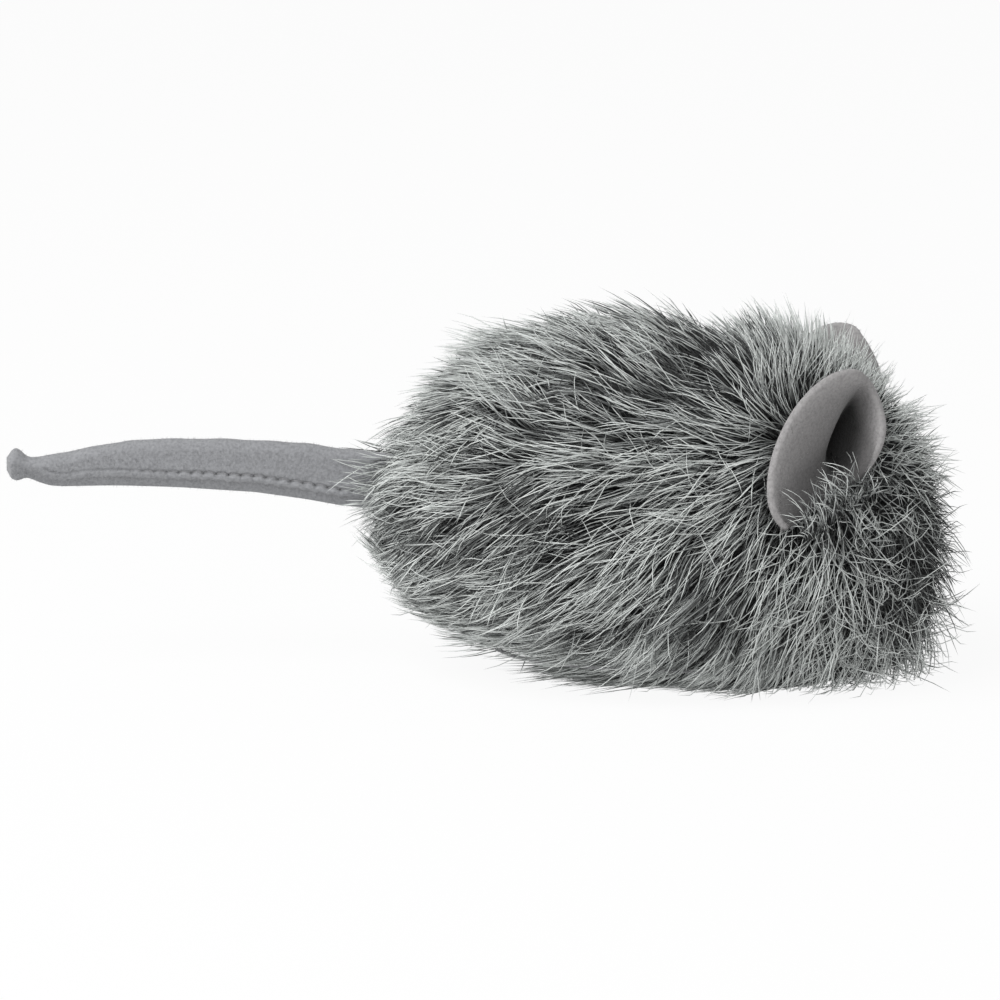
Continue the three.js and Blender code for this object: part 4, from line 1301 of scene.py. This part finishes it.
class MOUSE_OT_tail(bpy.types.Operator):
    """Folds and stitches the felt tail"""

    bl_idname = "mouse.tail"
    bl_label = "Stitch Tail"

    def execute(self, context):
        felt = context.scene.mouse_felt
        random = np.random.default_rng(SEED + 3)
        start = TAIL_PIVOT + np.array((TAIL_ROOT, 0, 0))
        rings, depth = tail_rings(np.linspace(TAIL_OUTLINE[0][0] * MM, start[0], TAIL_RINGS))
        tail = put_loft("felt_tail", rings)
        # painted shadow along the seam and a painted highlight on the lip's scallops
        put_painted_shade(tail, depth)
        material = felt_material("tail_felt", felt.tail_colour)
        places, normals = surface_of(tail)
        outside = places[:, 0] < TAIL_PIVOT[0] - TAIL_HIDDEN
        loose = fuzz("felt_tail_fuzz", places[outside], normals[outside], TAIL_FUZZ, felt.fuzz, random)
        thread = put_loft("tail_thread", thread_rings())
        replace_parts(dress(tail, material, None), "tail_strip")
        dress(loose, material, None)
        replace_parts(dress(thread, spun_thread(), None), "tail_seam_thread")
        for piece in (tail, loose, thread):
            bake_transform(piece)
        fringe = self.fringe(context.scene.mouse_plush, random)
        follow_tail(dress(fringe, bpy.data.materials["plush_pile"], None))
        return {"FINISHED"}

    def fringe(self, plush, random):
        """Fibres that run out from the pile over both faces of the tail's root."""
        count = TAIL_FRINGE
        side = np.where(np.arange(count) % 2, 1, -1)
        off = FELT + TAIL_SLIT / 2 + random.uniform(0.6, 2.6, count) * MM
        across = random.uniform(-4, 4.5, count) * MM
        root = TAIL_PIVOT + points_of(random.uniform(-2, 1.5, count) * MM, side * off, across)
        run = random.uniform(5, 9.5, count) * MM
        fall = random.normal(0, 0.2, count) * run
        out = random.uniform(-0.2, 1.2, count) * MM
        lines = root[:, None] + points_of(
            np.outer(run, -GUARD_RINGS), np.outer(side * out, ARCH), np.outer(fall, GUARD_RINGS**1.4)
        )
        thick = plush.thick * random.uniform(0.7, 1.1, count)
        tones = varied(random, 0.75, 0.25, 0, 1, count)
        return put_fibres("tail_fringe", lines, GUARD_RINGS, thick, tones, random, FROST)


# Inside


def pouch_outline(margin):
    """Ring round the sachet, a margin outside its edge: a superellipse."""
    turn = all_round(80)
    x = (POUCH_LENGTH / 2 + margin) * squared(np.cos(turn), POUCH_SQUARE)
    return points_of(x, (POUCH_WIDTH / 2 + margin) * squared(np.sin(turn), POUCH_SQUARE), 0.0)


def dome(margin, height, lift):
    """Rings from the rim of half a pillow to near its crown: the outline shrinks evenly, and the height
    follows a sine."""
    shares = np.linspace(0, 0.96, 14)
    inner = POUCH_WIDTH / 2 + margin
    rings = np.stack([pouch_outline(margin - s * inner) for s in shares])
    rings[..., 2] = lift + height * np.sin(shares * math.pi / 2)[:, None]
    return rings


class MOUSE_OT_filling(bpy.types.Operator):
    """Makes the fibrefill and the catnip sachet"""

    bl_idname = "mouse.filling"
    bl_label = "Fill Body"

    def execute(self, context):
        self.wads()
        self.sachet()
        return {"FINISHED"}

    def wads(self):
        """Each wad is a loft: rings of half an ellipsoid, the hollow round the sachet, and over its rim on to
        rings of the body's skin, which is dented by lumps."""
        material = plain_cloth("fibrefill_wool", (0.86, 0.85, 0.82), 700)
        turn = all_round(48)
        middle = (POUCH_PLACE[0] - RUMP_X - WAD_DEPTH) / (BODY_LENGTH - 2 * WAD_DEPTH)
        angle = np.linspace(0.08, 0.98, 12)[:, None] * math.pi / 2
        for name, sign, end in (("front", 1, 0.985), ("rear", -1, 0.015)):
            t = middle + (end - middle) * np.sin(np.linspace(0.02, math.pi / 2, 26))
            outer = body_skin(t[:, None], turn[None, :], WAD_DEPTH)
            outer[..., 2] = np.maximum(outer[..., 2], WAD_FLOOR)
            ball = points_of(sign * np.cos(angle), np.sin(angle) * np.cos(turn), np.sin(angle) * np.sin(turn))
            lumps = np.abs(drift(outer, 8 * MM, 6))[..., None]
            outer += unit(POUCH_PLACE - outer) * 0.5 * MM * lumps
            rings = np.concatenate((POUCH_PLACE + HOLLOW * ball, outer))
            wad = put_loft(f"fibrefill_{name}", under_ears(rings, 1.6 * MM))
            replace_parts(dress(wad, material, "body"), f"stuffing_{name}")

    def sachet(self):
        """Two domed sheets with a flat hem, and a lens of crumbled leaf between them."""
        cloth = plain_cloth("sachet_weave", (0.78, 0.76, 0.70), 1800)
        leaf = plain_cloth("dried_catnip", (0.22, 0.26, 0.10), 900)
        height = POUCH_THICK / 2 - POUCH_GAP - POUCH_CLOTH
        outside = dome(-POUCH_HEM, height, POUCH_GAP + POUCH_CLOTH)
        inside = dome(-POUCH_HEM - POUCH_CLOTH, height, POUCH_GAP)
        hem = np.stack((pouch_outline(0), pouch_outline(0)))
        hem[0, :, 2] = POUCH_GAP
        hem[1, :, 2] = POUCH_GAP + POUCH_CLOTH
        rings = np.concatenate((inside[::-1], hem, outside))
        for name, sign in (("upper", 1), ("lower", -1)):
            sheet = put_loft(f"sachet_{name}", POUCH_PLACE + rings * np.array((1, 1, sign)))
            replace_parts(dress(sheet, cloth, "body"), f"pouch_{name}")
        half = dome(-POUCH_HEM - 1.2 * MM, height - 0.4 * MM, 0.25 * MM)
        rings = np.concatenate((half[::-1] * np.array((1, 1, -1)), half))
        rings *= 1 - 0.03 * np.abs(drift(rings, 2.5 * MM, 7))[..., None]
        filling = put_loft("catnip_leaf", POUCH_PLACE + rings)
        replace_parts(dress(filling, leaf, "body"), "catnip_filling")


class MOUSE_OT_threads(bpy.types.Operator):
    """Gives the sewing threads their spun finish"""

    bl_idname = "mouse.threads"
    bl_label = "Finish Threads"

    def execute(self, context):
        for part in frame["record"]["subparts"]:
            if part["material_slot"] == "thread":
                mesh = frame["nodes"][part["node"]].data
                mesh.materials.clear()
                mesh.materials.append(spun_thread())
        return {"FINISHED"}


# Stage

KEY_PLACE = (-0.55, -0.45, 0.95)
KEY_SIZE = 0.7
FILL_PLACE = (-0.25, -1.1, 0.45)
FILL_SIZE = 0.8
LAMP_AIM = Vector((0.03, 0, 0.03))
FLOOR_GLOW = 0.4  # share of white glow in the floor
FLOOR_GLOW_SEEN = 0.53  # more of it for the camera
VIEW_AIM = Vector((1.75 * MM, 0, 25 * MM))
VIEW_SHIFT = (1.98 * MM, 3.47 * MM)  # of the picture's middle, to the right and up
SENSOR = 36


def mix_shaders(nodes, links, amount, first, second):
    """Mix of two shader sockets by a third socket."""
    mix = nodes.new("ShaderNodeMixShader")
    links.new(amount, mix.inputs["Fac"])
    links.new(first, mix.inputs[1])
    links.new(second, mix.inputs[2])
    return mix.outputs["Shader"]


class MOUSE_OT_stage(bpy.types.Operator):
    """Sets the floor, the lamps and the camera of the photograph"""

    bl_idname = "mouse.stage"
    bl_label = "Set Stage"

    def execute(self, context):
        stage = context.scene.mouse_stage
        context.scene.view_settings.view_transform = "Standard"
        self.floor()
        self.sky(context.scene, stage)
        self.lamp("key_lamp", KEY_PLACE, KEY_SIZE, stage.key)
        self.lamp("fill_lamp", FILL_PLACE, FILL_SIZE, stage.fill)
        self.camera(context.scene, stage)
        return {"FINISHED"}

    def floor(self):
        """Pale floor with a white glow, which is stronger where the camera sees it."""
        bpy.ops.mesh.primitive_plane_add(size=12)
        floor = bpy.context.object
        floor.name = "floor"
        material, nodes, links, shader = new_material("white_floor", 0.9)
        shader.inputs["Base Color"].default_value = (0.86, 0.86, 0.86, 1)
        shader.inputs["Specular IOR Level"].default_value = 0
        white = nodes.new("ShaderNodeEmission")
        seen = nodes.new("ShaderNodeLightPath").outputs["Is Camera Ray"]
        glow = nodes.new("ShaderNodeMath")
        glow.operation = "MULTIPLY_ADD"
        glow.inputs[1].default_value = FLOOR_GLOW_SEEN
        glow.inputs[2].default_value = FLOOR_GLOW
        links.new(seen, glow.inputs[0])
        share = glow.outputs["Value"]
        mixed = mix_shaders(nodes, links, share, shader.outputs["BSDF"], white.outputs["Emission"])
        links.new(mixed, nodes["Material Output"].inputs["Surface"])
        floor.data.materials.append(material)

    def sky(self, scene, stage):
        """Even light all round, which the camera sees as white."""
        world = bpy.data.worlds.new("studio")
        scene.world = world
        world.use_nodes = True
        nodes = world.node_tree.nodes
        links = world.node_tree.links
        light = nodes["Background"]
        white = nodes.new("ShaderNodeBackground")
        for background, strength in ((light, stage.sky), (white, 1)):
            background.inputs["Color"].default_value = (1, 1, 1, 1)
            background.inputs["Strength"].default_value = strength
        seen = nodes.new("ShaderNodeLightPath").outputs["Is Camera Ray"]
        mixed = mix_shaders(nodes, links, seen, light.outputs["Background"], white.outputs["Background"])
        links.new(mixed, nodes["World Output"].inputs["Surface"])

    def lamp(self, name, place, size, power):
        """Square lamp at a place, turned to the toy."""
        lamp = bpy.data.lights.new(name, "AREA")
        lamp.size = size
        lamp.energy = power
        self.aim(name, lamp, place, LAMP_AIM - Vector(place))

    def camera(self, scene, stage):
        """Camera at the photograph's azimuth and elevation, aimed so that the toy lies as it does there."""
        a, e = stage.azimuth, stage.elevation
        right = Vector((math.cos(a), math.sin(a), 0))
        ahead = Vector((-math.sin(a) * math.cos(e), math.cos(a) * math.cos(e), -math.sin(e)))
        shift = right * VIEW_SHIFT[0] + right.cross(ahead) * VIEW_SHIFT[1]
        camera = bpy.data.cameras.new("photo_camera")
        camera.sensor_width = SENSOR
        camera.lens = SENSOR * stage.distance / stage.width
        camera.clip_start = 0.05
        scene.camera = self.aim("photo_camera", camera, VIEW_AIM + shift - ahead * stage.distance, ahead)

    def aim(self, name, data, place, ahead):
        """Puts a lamp or a camera at a place, looking along a vector."""
        holder = bpy.data.objects.new(name, data)
        bpy.context.scene.collection.objects.link(holder)
        holder.location = place
        holder.rotation_euler = ahead.to_track_quat("-Z", "Y").to_euler()
        return holder


class MOUSE_PT_panel(bpy.types.Panel):
    """Steps that dress the mouse"""

    bl_label = "Catnip Mouse"
    bl_space_type = "VIEW_3D"
    bl_region_type = "UI"
    bl_category = "Mouse"

    def draw(self, context):
        for step in STEPS:
            self.layout.operator(step.bl_idname)
        for group in ("mouse_plush", "mouse_felt", "mouse_stage"):
            settings = getattr(context.scene, group)
            for name in settings.__annotations__:
                self.layout.prop(settings, name)


SETTINGS = (PlushSettings, FeltSettings, StageSettings)
STEPS = (
    MOUSE_OT_stage,
    MOUSE_OT_backing,
    MOUSE_OT_pile,
    MOUSE_OT_belly,
    MOUSE_OT_ears,
    MOUSE_OT_tail,
    MOUSE_OT_filling,
    MOUSE_OT_threads,
)


def register():
    for cls in (*SETTINGS, *STEPS, MOUSE_PT_panel):
        bpy.utils.register_class(cls)
    bpy.types.Scene.mouse_plush = PointerProperty(type=PlushSettings)
    bpy.types.Scene.mouse_felt = PointerProperty(type=FeltSettings)
    bpy.types.Scene.mouse_stage = PointerProperty(type=StageSettings)


def unregister():
    del bpy.types.Scene.mouse_stage, bpy.types.Scene.mouse_felt, bpy.types.Scene.mouse_plush
    for cls in reversed((*SETTINGS, *STEPS, MOUSE_PT_panel)):
        bpy.utils.unregister_class(cls)


def main():
    register()
    bpy.ops.mouse.stage()
    bpy.ops.mouse.backing()
    bpy.ops.mouse.pile()
    bpy.ops.mouse.belly()
    bpy.ops.mouse.ears()
    bpy.ops.mouse.tail()
    bpy.ops.mouse.filling()
    bpy.ops.mouse.threads()


if __name__ == "__main__":
    main()
